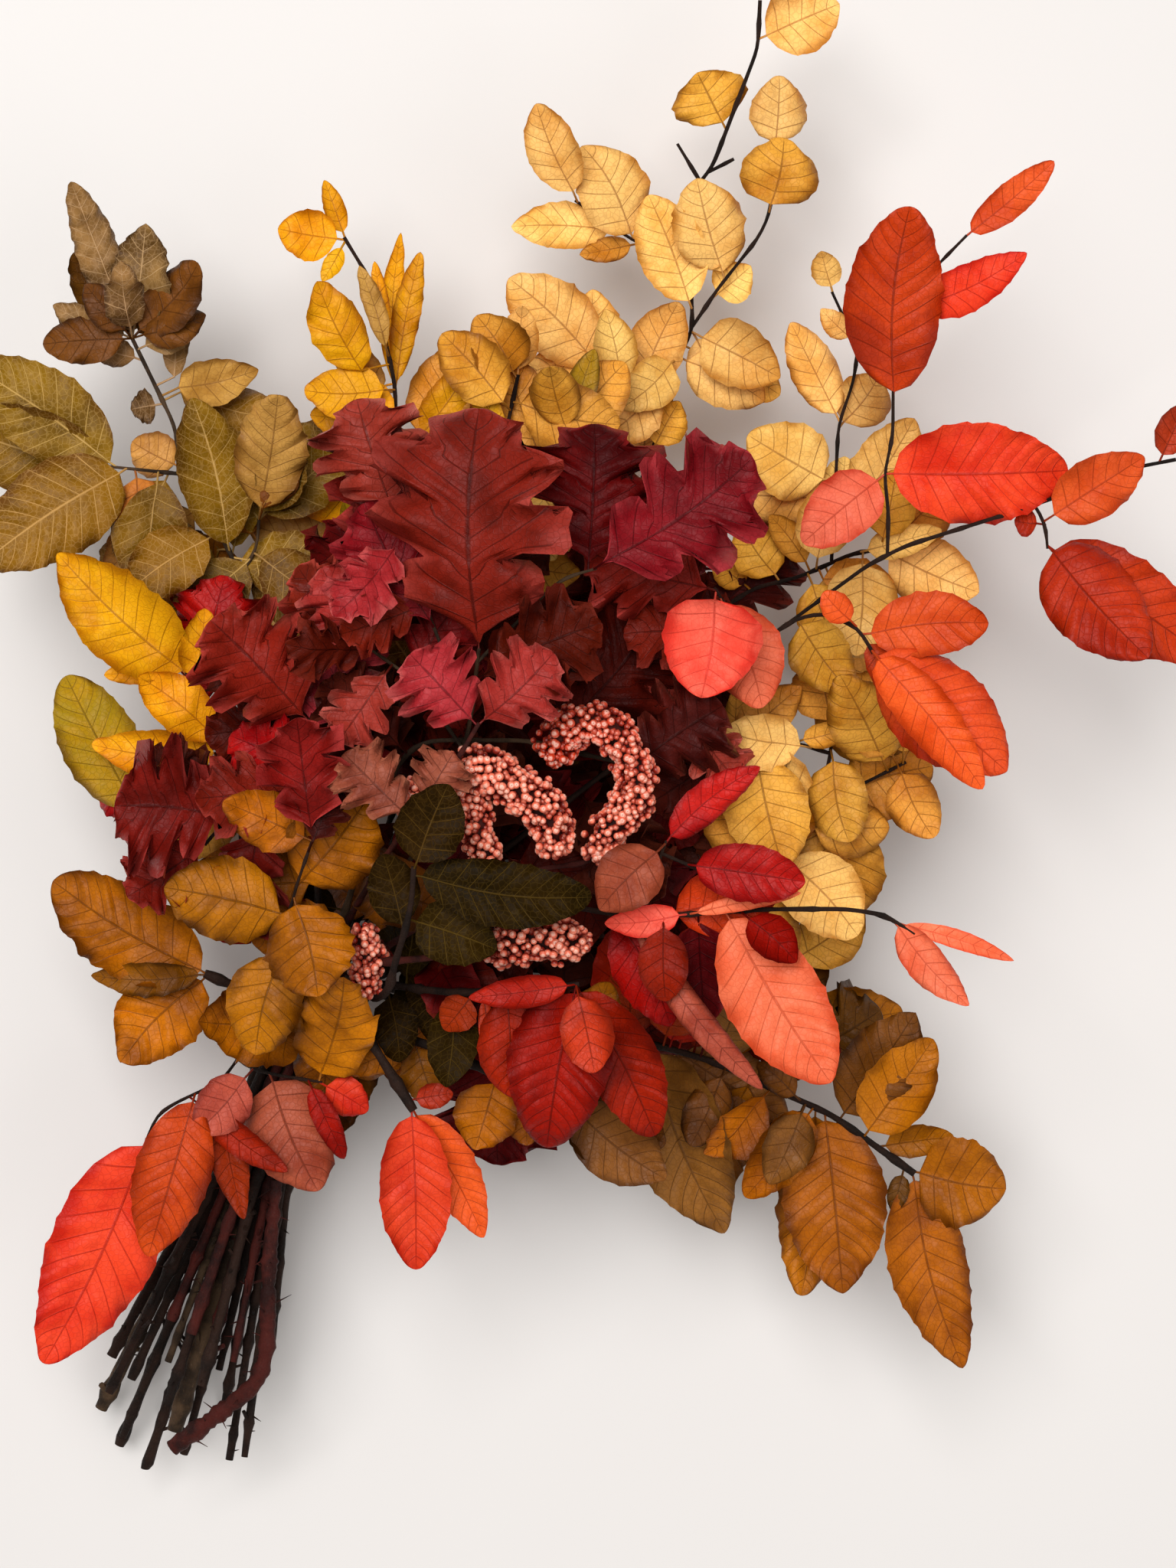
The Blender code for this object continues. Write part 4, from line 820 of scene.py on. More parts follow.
# One leaf as a thin closed sheet with pleats between its veins, and its stalk and midrib
def addLeaf(mesh, pose, tone, slot, draw):
    kind = pose["kind"]
    outline = fineLeaf["outline"]
    pose["outline"] = [draw.uniform(*outline[key]) for key in ("widest", "round", "point")]
    crisp = fineLeaf["crisp"].get(tone, 1.0)
    forms = {key: most * draw.uniform(-1, 1) for key, most in fineLeaf["forms"].items()}
    pose["ragged"] = fineLeaf["ragged"] * crisp
    pose["raggedAt"] = draw.uniform(0, 90)
    curlSide = draw.choice((-1, 1))
    if not pose["ruffle"]:
        forms = dict.fromkeys(forms, 0.0)
    length = pose["length"]
    pairs = round(length / fineLeaf["veinSpacing"])
    pairs = max(fineLeaf["pairs"][0], min(fineLeaf["pairs"][1], pairs))
    detail = "fill" if pose.get("fill") else "shown"
    rows = pairs * fineLeaf["rowsPerVein"][detail]
    if kind == "oak":
        rows = max(rows, fineLeaf["oakRows"][detail])
    columns = fineLeaf["columns"][detail]
    sweep = min(fineLeaf["most"], fineLeaf["sweep"] * pose["halfWidth"] / length)
    phase = draw.uniform(0, 2 * math.pi)
    seed = draw.random()
    ageing = draw.random()
    away = Vector((draw.uniform(-50, 50), draw.uniform(-50, 50), 0.0))
    top = []
    bottom = []
    veins = []
    lift = pose["normal"] * (fineLeaf["thickness"] / 2)
    for i in range(rows + 1):
        s = i / rows
        run = s * pairs
        for j in range(2 * columns + 1):
            v = j / columns - 1
            u = s + sweep * 4 * s * (1 - s) * abs(v)
            half = fineHalf(pose, u, run, v)
            side = abs(v) * half
            turn = 2 * math.pi * pose["waves"] * u + pose["phase"] + (blades["ruffleLag"] if v > 0 else 0.0)
            rise = pose["bow"] * length * 4 * u * (1 - u)
            rise += side * (pose["foldLeft"] if v < 0 else pose["foldRight"])
            rise += side * v * v * pose["ruffle"] * math.sin(turn)
            ends = math.sin(math.pi * s) ** 0.5 if 0 < s < 1 else 0.0
            pleat = abs(math.sin(math.pi * run)) ** 0.7 * min(1.0, abs(v) * 4) * (1 - 0.4 * abs(v))
            rise += fineLeaf["pleat"][kind] * pose["halfWidth"] * pleat * ends
            if pose["ruffle"]:
                wave = math.sin(math.pi * pairs * s + phase + (1.3 if v > 0 else 0.0))
                rise += fineLeaf["edgeWave"] * crisp * half * abs(v) ** 3 * wave * ends
                if kind == "oak":
                    share, count = fineLeaf["oakRuffle"]
                    rise += share * side * v * v * math.sin(2 * math.pi * count * u + phase + 2 * v)
                place = pose["ahead"] * length * u + pose["across"] * half * v + away
                for high, often in fineLeaf["crumple"]:
                    rise += high * crisp * noise.noise(place * often) * min(1.0, half / fineLeaf["smallHalf"])
                rise += forms["curl"] * half * max(0.0, v * curlSide) ** 3 * math.sin(math.pi * min(1.0, u))
                rise += forms["twist"] * half * v * u
                rise += forms["roll"] * half * v ** 4
                rise += forms["tipCurl"] * length * max(0.0, u - 0.6) ** 2
            along = length * u
            if kind == "oak":
                along += blades["oakSweep"] * length * side / pose["halfWidth"]
            aside = half * v + forms["bend"] * length * math.sin(math.pi * min(1.0, u))
            point = pose["base"] + pose["ahead"] * along + pose["across"] * aside + pose["normal"] * rise
            top.append(point + lift)
            bottom.append(point - lift)
            veins.append((run, abs(v)))
    width = 2 * columns + 1
    below = len(top)
    faces = []
    for i in range(rows):
        for j in range(width - 1):
            a = i * width + j
            b, c, d = a + 1, a + 1 + width, a + width
            faces.append((a, b, c, d))
            faces.append((below + a, below + d, below + c, below + b))
        for edge in (0, width - 1):
            a = i * width + edge
            rim = (a, a + width, below + a + width, below + a)
            faces.append(rim if edge == 0 else tuple(reversed(rim)))
    for j in range(width - 1):
        faces.append((j, below + j, below + j + 1, j + 1))
        a = rows * width + j
        faces.append((a, a + 1, below + a + 1, below + a))
    addFaces(mesh, top + bottom, faces, slot, veins + veins, [(seed, ageing)] * (2 * below))
    path = [pose["root"], pose["root"].lerp(pose["base"], 0.5)]
    marks = range(0, int(rows * fineLeaf["ribEnd"]), max(1, rows // fineLeaf["ribSteps"]))
    path += [(top[i * width + columns] + bottom[i * width + columns]) / 2 for i in marks]
    thick, thin = fineLeaf["rib"]
    radii = [thick + (thin - thick) * (k / (len(path) - 1)) for k in range(len(path))]
    points, faces = tubeMesh(path, radii, fineLeaf["ribSides"])
    addFaces(mesh, points, faces, slot, [(0.0, 0.0)] * len(points), [(seed, ageing)] * len(points))


def addTube(mesh, path, radii, sides, slot, seed):
    points, faces = tubeMesh(path, radii, sides)
    run = 0.0
    veins = []
    for i, point in enumerate(path):
        if i:
            run += (point - path[i - 1]).length
        veins += [(run * 0.1, k / sides) for k in range(sides)]
    addFaces(mesh, points, faces, slot, veins, [(seed, radii[0])] * len(points))


# Stem or twig with knots along it, and prickles and stubs on the lower part of a stem
def addStem(mesh, tube, isMain, branchNumber, name, draw, prickly):
    path, startRadius, endRadius = tube
    radii = stemRadii(path, startRadius, endRadius, isMain, branchNumber)
    fine = [path[0]]
    sizes = [radii[0]]
    for k in range(len(path) - 1):
        steps = max(1, round((path[k + 1] - path[k]).length / fineStem["spacing"]))
        for i in range(1, steps + 1):
            fine.append(path[k].lerp(path[k + 1], i / steps))
            sizes.append(radii[k] + (radii[k + 1] - radii[k]) * i / steps)
    for _ in range(fineStem["rounding"]):  # rounds the corners of the simpler path
        inner = [(fine[k - 1] + fine[k] * 2 + fine[k + 1]) / 4 for k in range(1, len(fine) - 1)]
        fine = [fine[0]] + inner + [fine[-1]]
    knots = []
    run = draw.uniform(4, 16)
    total = sum((b - a).length for a, b in zip(fine[:-1], fine[1:]))
    while run < total:
        knots.append(run)
        run += draw.uniform(*fineStem["knotEvery"])
    run = 0.0
    shaped = []
    for k, size in enumerate(sizes):
        if k:
            run += (fine[k] - fine[k - 1]).length
        above = (fine[k] - grip["point"]).dot(grip["axis"]) - grip["halfLength"]
        share = 1.0
        if above > 0 or not isMain:
            slimmed = smoothStep(above / fineStem["fanEase"]) if isMain else 1.0
            share = 1 - (1 - fineStem["fanShare"]) * slimmed
        elif name in fineStem["thick"]:
            share = 1 + (fineStem["thick"][name] - 1) * smoothStep((-above - 2 * grip["halfLength"]) / 50)
        swell = sum(math.exp(-((run - knot) / fineStem["knotLength"]) ** 2) for knot in knots)
        lump = fineStem["lump"] * noise.noise(fine[k] * 0.12)
        shaped.append(size * share * (0.9 + fineStem["knotRise"] * swell + lump))
    seed = draw.random()
    sides = fineStem["sides"] if isMain else fineStem["twigSides"]
    addTube(mesh, fine, shaped, sides, 0, seed)
    if isMain:
        addStubs(mesh, fine, shaped, seed, draw)
    if prickly:
        addPrickles(mesh, fine, seed, draw)


# Where a point along a stem leaves it sideways
def sideways(fine, k, angle):
    ahead = (fine[k] - fine[k - 1]).normalized()
    aside = Vector((ahead.y, -ahead.x, 0.0)).normalized()
    return ahead, aside * math.cos(angle) + aside.cross(ahead) * math.sin(angle)


# Short cut side shoots below the grip
def addStubs(mesh, fine, sizes, seed, draw):
    for k in range(2, len(fine) - 1):
        if (fine[k] - grip["point"]).dot(grip["axis"]) > -grip["halfLength"] - 8:
            break
        if draw.random() > fineStem["stubOften"]:
            continue
        ahead, out = sideways(fine, k, draw.uniform(0, math.pi))
        reach = draw.uniform(*fineStem["stubReach"])
        tip = fine[k] + (out * 0.75 + ahead * draw.uniform(0.4, 0.9)) * reach
        thick = sizes[k] * fineStem["stubShare"]
        stubSizes = [thick, thick * 0.75, thick * 0.7]
        addTube(mesh, [fine[k], fine[k].lerp(tip, 0.5), tip], stubSizes, fineStem["stubSides"], 0, seed)


def addPrickles(mesh, fine, seed, draw, start=0.0):
    place = draw.uniform(0, 12)
    run = 0.0
    for k in range(1, len(fine)):
        run += (fine[k] - fine[k - 1]).length
        if run < place or (fine[k] - grip["point"]).dot(grip["axis"]) > -grip["halfLength"]:
            continue
        place = run + draw.uniform(*fineStem["prickleEvery"])
        ahead, out = sideways(fine, k, draw.uniform(0, 2 * math.pi))
        reach = start + draw.uniform(*fineStem["prickleReach"])
        tip = fine[k] + (out * 0.85 - ahead * draw.uniform(-0.5, 0.6)) * reach
        path = [fine[k], fine[k].lerp(tip, 0.5), tip]
        addTube(mesh, path, fineStem["prickleSizes"], fineStem["prickleSides"], 0, seed)


# The knobbly stem that bends away over the cut ends
def addCrooked(mesh, draw):
    crooked = fineStem["crooked"]
    fine = smoothPath(crooked["path"], crooked["spacing"])
    first, last = crooked["radii"]
    sizes = []
    for k, point in enumerate(fine):
        size = first + (last - first) * k / (len(fine) - 1)
        sizes.append(size * (1 + 0.4 * noise.noise(point * 0.2) + 0.3 * noise.noise(point * 0.55)))
    seed = draw.random()
    addTube(mesh, fine, sizes, crooked["sides"], 0, seed)
    for _ in range(2):
        addPrickles(mesh, list(reversed(fine)), seed, draw, last)


# The faces of a small round berry
def ballShape(rounds):
    work = bmesh.new()
    bmesh.ops.create_icosphere(work, subdivisions=rounds, radius=1.0)
    points = [v.co.copy() for v in work.verts]
    faces = [tuple(v.index for v in f.verts) for f in work.faces]
    work.free()
    return points, faces


# A head of berries packed round its core, turning by the golden angle from one to the next
def addHead(mesh, head, tint, slot, coreSlot, balls, draw):
    path = smoothPath(head[:-1], 1.0)
    reach = head[-1]
    runs = [0.0]
    for a, b in zip(path[:-1], path[1:]):
        runs.append(runs[-1] + (b - a).length)
    length = runs[-1]
    fromTips = [min(run, length - run) / reach for run in runs]
    core = [reach * fineBerry["core"] * math.sqrt(min(1.0, far + 0.06)) for far in fromTips]
    addTube(mesh, path, core, fineBerry["coreSides"], coreSlot, 0.5)
    often, deep = fineBerry["gap"]
    for layer in (1.0, fineBerry["under"]):
        count = int(2 * math.pi * reach * layer * (length + reach) / fineBerry["pitch"] ** 2)
        for k in range(count):
            run = (k + 0.5) / count * (length + reach) - reach / 2
            here = min(max(run, 0.0), length)
            i = min(len(path) - 2, max(0, sum(mark <= here for mark in runs) - 1))
            ahead = (path[i + 1] - path[i]).normalized()
            point = path[i] + ahead * (here - runs[i])
            across = Vector((ahead.y, -ahead.x, 0.0)).normalized()
            angle = fineBerry["goldenAngle"] * k + draw.uniform(-0.25, 0.25)
            out = across * math.cos(angle) + across.cross(ahead) * math.sin(angle)
            beyond = run - here
            fromEnd = min(run + reach / 2, length + reach / 2 - run)
            ring = reach * layer * math.sqrt(max(0.0, 1 - (1 - min(1.0, fromEnd / reach)) ** 2))
            spot = point + out * ring + ahead * beyond
            most, clumpOften = fineBerry["clumps"]
            spot += out * (draw.uniform(*fineBerry["depth"]) + most * noise.noise(spot * clumpOften))
            spot += ahead * draw.uniform(-0.7, 0.7)
            if out.z < fineBerry["hidden"] or (layer == 1.0 and noise.noise(spot * often) < deep):
                continue
            points, faces = balls[layer == 1.0]
            radius = draw.uniform(*fineBerry["radius"])
            part = min(1.0, max(0.0, run / length))
            colour = tint[0] + (tint[1] - tint[0]) * part + draw.uniform(-0.16, 0.16)
            placed = [spot + p * radius for p in points]
            # How far each point of a berry faces out from the head, lowered for the deeper layer; the skin
            # turns this into a painted highlight on the outer side and painted shade on the inner side and on
            # the deeper layer
            facing = [(0.5, (0.5 + 0.5 * p.dot(out)) * layer) for p in points]
            addFaces(mesh, placed, faces, slot, facing, [(colour, draw.random())] * len(points))


boxEase = {"sides": 0.004, "top": 0.008, "underside": 0.0006}   # metres over which a point is pressed in


# Presses what reaches past the solids' box gently back inside it, so that no sheet folds flat
def eased(real, k):
    low, high = cadBox[0][k], cadBox[1][k]
    soft = boxEase["sides"] if k < 2 else boxEase["top"]
    floor = boxEase["sides"] if k < 2 else boxEase["underside"]
    value = real[k]
    if value > high - soft:
        value = high - soft * math.exp(-(value - high + soft) / soft)
    if value < low + floor:
        value = low + floor * math.exp(-(low + floor - value) / floor)
    return value


# Turns the gathered faces into one smooth object
def finishMesh(name, mesh, materials):
    points = [[eased(real, k) for k in range(3)] for real in map(trueSize, mesh["points"])]
    data = bpy.data.meshes.new(name)
    data.from_pydata(points, [], mesh["faces"])
    for material in materials:
        data.materials.append(material)
    data.polygons.foreach_set("material_index", mesh["slots"])
    corners = np.zeros(len(data.loops), dtype=np.int32)
    data.loops.foreach_get("vertex_index", corners)
    for layer, values in (("veins", mesh["veins"]), ("draw", mesh["draw"])):
        made = data.uv_layers.new(name=layer)
        made.data.foreach_set("uv", np.array(values, dtype=np.float32)[corners].ravel())
    data.shade_smooth()
    data.set_sharp_from_angle(angle=math.radians(fineLeaf["sharpFrom"]))
    made = bpy.data.objects.new(name, data)
    bpy.context.scene.collection.objects.link(made)
    return made


# Materials


# The linear colour of a paint given as red, green and blue from 0 to 255
def paint(red, green, blue):
    def linear(value):
        value /= 255
        return value / 12.92 if value <= 0.04045 else ((value + 0.055) / 1.055) ** 2.4
    return (linear(red), linear(green), linear(blue), 1.0)


def addNode(tree, kind, values=None, **settings):
    node = tree.nodes.new(kind)
    for key, value in settings.items():
        setattr(node, key, value)
    for key, value in (values or {}).items():
        node.inputs[key].default_value = value
    return node


def mixColours(tree, factor, first, second, blend="MIX"):
    node = addNode(tree, "ShaderNodeMix", data_type="RGBA", blend_type=blend, clamp_factor=True)
    for value, socket in ((factor, node.inputs[0]), (first, node.inputs[6]), (second, node.inputs[7])):
        if isinstance(value, bpy.types.NodeSocket):
            tree.links.new(value, socket)
        else:
            socket.default_value = value
    return node.outputs[2]


# A smooth mask: 0 at the value low and 1 at the value high
def ramp(tree, value, low, high, first=0.0, last=1.0):
    node = addNode(tree, "ShaderNodeMapRange", {1: low, 2: high, 3: first, 4: last},
                   interpolation_type="SMOOTHSTEP")
    tree.links.new(value, node.inputs[0])
    return node.outputs[0]


def maths(tree, operation, first, second=None):
    node = addNode(tree, "ShaderNodeMath", operation=operation)
    for value, socket in ((first, node.inputs[0]), (second, node.inputs[1])):
        if isinstance(value, bpy.types.NodeSocket):
            tree.links.new(value, socket)
        elif value is not None:
            socket.default_value = value
    return node.outputs[0]


def newMaterial(name):
    material = bpy.data.materials.new(name)
    material.use_nodes = True
    tree = material.node_tree
    return material, tree, tree.nodes["Principled BSDF"]


# The two numbers that a mesh's map of this name holds at each corner
def mapPair(tree, name):
    node = addNode(tree, "ShaderNodeUVMap", uv_map=name)
    pair = addNode(tree, "ShaderNodeSeparateXYZ")
    tree.links.new(node.outputs[0], pair.inputs[0])
    return pair.outputs


def addBump(tree, shader, height, strength, distance):
    bump = addNode(tree, "ShaderNodeBump", {"Strength": strength, "Distance": distance})
    tree.links.new(height, bump.inputs["Height"])
    tree.links.new(bump.outputs[0], shader.inputs["Normal"])


def noiseAt(tree, place, scale, detail=4.0, rough=0.55):
    node = addNode(tree, "ShaderNodeTexNoise", {"Scale": scale, "Detail": detail, "Roughness": rough})
    tree.links.new(place, node.inputs["Vector"])
    return node.outputs["Fac"]


# Each tone: the blade, its blotches, its veins and its edge, a darker dry edge on most tones and a lighter
# painted highlight on the curled edges of burgundy, raspberry, wine, maroon and duskyRose
leafTones = {
    "ember": {"blade": (198, 48, 12), "blotch": (164, 28, 4), "vein": (110, 16, 3), "edge": (140, 18, 2)},
    "olive": {"blade": (134, 92, 15), "blotch": (98, 64, 5), "vein": (196, 152, 88), "edge": (96, 58, 14)},
    "crumpled": {"blade": (146, 106, 60), "blotch": (92, 62, 30),
                 "vein": (190, 150, 108), "edge": (70, 44, 22)},
    "tan": {"blade": (204, 146, 72), "blotch": (160, 104, 40),
            "vein": (130, 80, 34), "edge": (130, 80, 30)},
    "rust": {"blade": (206, 122, 46), "blotch": (170, 86, 22),
             "vein": (120, 60, 20), "edge": (126, 64, 18)},
    "yellow": {"blade": (240, 166, 14), "blotch": (212, 130, 4),
               "vein": (150, 84, 8), "edge": (176, 100, 4)},
    "oliveYellow": {"blade": (158, 124, 14), "blotch": (180, 132, 14),
                    "vein": (98, 70, 8), "edge": (96, 64, 8)},
    "gold": {"blade": (252, 198, 112), "blotch": (230, 162, 72),
             "vein": (150, 92, 40), "edge": (184, 116, 38)},
    "darkGold": {"blade": (226, 158, 58), "blotch": (190, 116, 24),
                 "vein": (122, 68, 18), "edge": (130, 74, 12)},
    "goldBrown": {"blade": (230, 158, 62), "blotch": (196, 120, 30),
                  "vein": (122, 70, 20), "edge": (124, 70, 14)},
    "amber": {"blade": (182, 99, 8), "blotch": (138, 69, 2), "vein": (100, 48, 6), "edge": (98, 46, 2)},
    "ochre": {"blade": (188, 104, 4), "blotch": (134, 68, 1), "vein": (98, 50, 4), "edge": (96, 46, 1)},
    "darkOchre": {"blade": (128, 68, 4), "blotch": (90, 44, 1), "vein": (70, 34, 4), "edge": (58, 26, 1)},
    "taupe": {"blade": (144, 88, 34), "blotch": (106, 60, 18), "vein": (84, 46, 14), "edge": (74, 40, 8)},
    "brown": {"blade": (122, 70, 18), "blotch": (86, 46, 8), "vein": (66, 34, 6), "edge": (56, 28, 4)},
    "scarlet": {"blade": (230, 70, 32), "blotch": (204, 42, 13),
                "vein": (156, 30, 12), "edge": (176, 30, 8)},
    "coral": {"blade": (246, 110, 84), "blotch": (232, 78, 54),
              "vein": (186, 56, 38), "edge": (204, 52, 34)},
    "darkRed": {"blade": (150, 22, 4), "blotch": (112, 10, 1), "vein": (76, 8, 2), "edge": (94, 8, 1)},
    "crimson": {"blade": (184, 30, 14), "blotch": (146, 14, 6), "vein": (92, 10, 6), "edge": (118, 10, 4)},
    "duskyPink": {"blade": (184, 82, 60), "blotch": (146, 50, 34),
                  "vein": (104, 34, 22), "edge": (120, 40, 26)},
    # burgundy, raspberry, wine, maroon and duskyRose have an edge lighter than the blade: a painted highlight
    # on their curled edges
    "burgundy": {"blade": (130, 17, 21), "blotch": (94, 6, 8), "vein": (60, 4, 5), "edge": (172, 52, 54)},
    "raspberry": {"blade": (160, 40, 42), "blotch": (122, 16, 18),
                  "vein": (80, 10, 12), "edge": (190, 84, 80)},
    "wine": {"blade": (88, 8, 6), "blotch": (56, 2, 2), "vein": (42, 3, 3), "edge": (122, 28, 26)},
    "maroon": {"blade": (78, 22, 14), "blotch": (50, 10, 6), "vein": (40, 9, 5), "edge": (98, 38, 26)},
    "duskyRose": {"blade": (150, 70, 56), "blotch": (112, 40, 32),
                  "vein": (80, 28, 22), "edge": (164, 90, 72)},
    "darkGreen": {"blade": (41, 25, 3), "blotch": (27, 16, 1), "vein": (84, 60, 20), "edge": (26, 14, 1)},
}

leafFinish = {
    "veinWidth": (0.01, 0.05),
    "ribWidth": (0.008, 0.04),
    "roughness": (0.36, 0.54),
    "gloss": 0.13,
    "dull": {"darkGreenLeaf": 0.03, "wineLeaf": 0.06, "maroonLeaf": 0.06, "burgundyLeaf": 0.09,
             "darkRedLeaf": 0.08},
    "bumpReach": 0.0006,
    "netScale": 420.0,
    "mottleScale": 38.0,
    "grainScale": 520.0,
}


def leafMaterial(name, tone):
    material, tree, shader = newMaterial(name)
    along, outward = mapPair(tree, "veins")[:2]
    drawn, ageing = mapPair(tree, "draw")[:2]
    place = addNode(tree, "ShaderNodeTexCoord").outputs["Object"]
    beside = maths(tree, "PINGPONG", along, 0.5)
    sideVein = ramp(tree, beside, *leafFinish["veinWidth"], 1.0, 0.0)
    fade = ramp(tree, outward, 0.70, 1.0, 1.0, 0.35)
    sideVein = maths(tree, "MULTIPLY", sideVein, fade)
    rib = ramp(tree, outward, *leafFinish["ribWidth"], 1.0, 0.0)
    veinMask = maths(tree, "MAXIMUM", sideVein, rib)
    net = addNode(tree, "ShaderNodeTexVoronoi", {"Scale": leafFinish["netScale"]}, feature="DISTANCE_TO_EDGE")
    tree.links.new(place, net.inputs["Vector"])
    netMask = ramp(tree, net.outputs["Distance"], 0.0, 0.12, 1.0, 0.0)
    mottle = noiseAt(tree, place, leafFinish["mottleScale"], 5.0, 0.6)
    speckle = noiseAt(tree, place, leafFinish["grainScale"], 2.0, 0.7)
    colour = mixColours(tree, ramp(tree, mottle, 0.38, 0.68), paint(*tone["blade"]), paint(*tone["blotch"]))
    # Mixed in towards the margin: the edge colour, a darker dry edge on most tones and a painted highlight on
    # the curled edges of the lighter-edged red oak tones
    edge = maths(tree, "MULTIPLY", ramp(tree, outward, 0.62, 1.02), ramp(tree, mottle, 0.35, 0.6, 0.2, 1.0))
    colour = mixColours(tree, edge, colour, paint(*tone["edge"]))
    colour = mixColours(tree, maths(tree, "MULTIPLY", netMask, 0.22), colour, paint(*tone["vein"]))
    colour = mixColours(tree, maths(tree, "MULTIPLY", veinMask, 0.66), colour, paint(*tone["vein"]))
    shift = addNode(tree, "ShaderNodeHueSaturation")
    tree.links.new(ramp(tree, drawn, 0.0, 1.0, 0.497, 0.509), shift.inputs["Hue"])
    tree.links.new(ramp(tree, ageing, 0.0, 1.0, 0.84, 1.12), shift.inputs["Value"])
    tree.links.new(colour, shift.inputs["Color"])
    tree.links.new(shift.outputs[0], shader.inputs["Base Color"])
    tree.links.new(ramp(tree, speckle, 0.3, 0.7, *leafFinish["roughness"]), shader.inputs["Roughness"])
    height = maths(tree, "MULTIPLY", veinMask, 0.8)
    height = maths(tree, "ADD", height, maths(tree, "MULTIPLY", netMask, 0.22))
    height = maths(tree, "ADD", height, maths(tree, "MULTIPLY", speckle, 0.30))
    addBump(tree, shader, height, 0.55, leafFinish["bumpReach"])
    shader.inputs["Specular IOR Level"].default_value = leafFinish["dull"].get(name, leafFinish["gloss"])
    return material


barkTones = {
    "darkBark": {"wood": (40, 23, 15), "patch": (22, 12, 7), "scar": (88, 64, 46)},
    "greyBark": {"wood": (80, 60, 42), "patch": (42, 30, 20), "scar": (126, 104, 80)},
    "redBark": {"wood": (70, 24, 18), "patch": (36, 12, 9), "scar": (110, 66, 48)},
}
barkGloss = 0.16


def barkMaterial(name, tone):
    material, tree, shader = newMaterial(name)
    place = addNode(tree, "ShaderNodeTexCoord").outputs["Object"]
    veinMap = addNode(tree, "ShaderNodeUVMap", uv_map="veins")
    stretch = addNode(tree, "ShaderNodeMapping", {"Scale": (1.2, 7.0, 1.0)})
    tree.links.new(veinMap.outputs[0], stretch.inputs["Vector"])
    furrow = noiseAt(tree, stretch.outputs[0], 3.0, 5.0, 0.65)
    patch = noiseAt(tree, place, 60.0, 4.0, 0.6)
    grain = noiseAt(tree, place, 900.0, 3.0, 0.7)
    colour = mixColours(tree, ramp(tree, patch, 0.4, 0.62), paint(*tone["wood"]), paint(*tone["patch"]))
    colour = mixColours(tree, ramp(tree, furrow, 0.60, 0.78, 0.0, 0.7), colour, paint(*tone["scar"]))
    tree.links.new(colour, shader.inputs["Base Color"])
    tree.links.new(ramp(tree, grain, 0.3, 0.7, 0.55, 0.85), shader.inputs["Roughness"])
    shader.inputs["Specular IOR Level"].default_value = barkGloss
    height = maths(tree, "ADD", maths(tree, "MULTIPLY", furrow, 1.0), maths(tree, "MULTIPLY", grain, 0.5))
    addBump(tree, shader, height, 0.7, 0.0008)
    return material


def berryMaterial():
    material, tree, shader = newMaterial("berrySkin")
    # On berries the second number of the veins map is how far each point faces out from the head, which
    # drives the painted highlight and painted shade below
    facing = mapPair(tree, "veins")[1]
    drawn = mapPair(tree, "draw")[0]
    place = addNode(tree, "ShaderNodeTexCoord").outputs["Object"]
    bloom = noiseAt(tree, place, 700.0, 3.0, 0.6)
    colour = mixColours(tree, drawn, paint(206, 58, 24), paint(238, 124, 94))
    colour = mixColours(tree, ramp(tree, bloom, 0.50, 0.66, 0.0, 0.4), colour, paint(255, 200, 176))
    # Painted highlight: the part of each berry that faces furthest out from the head is lightened
    colour = mixColours(tree, ramp(tree, facing, 0.84, 0.97, 0.0, 0.5), colour, paint(255, 220, 200))
    # Painted shade: the parts of a berry that face in towards the core and the other berries, and the whole
    # of the deeper layer, are darkened
    colour = mixColours(tree, ramp(tree, facing, 0.74, 0.4, 0.0, 0.95), colour, paint(134, 22, 10))
    colour = mixColours(tree, ramp(tree, facing, 0.97, 0.99), colour, paint(126, 40, 26))
    tree.links.new(colour, shader.inputs["Base Color"])
    tree.links.new(ramp(tree, bloom, 0.3, 0.7, 0.24, 0.45), shader.inputs["Roughness"])
    addBump(tree, shader, bloom, 0.3, 0.0003)
    return material


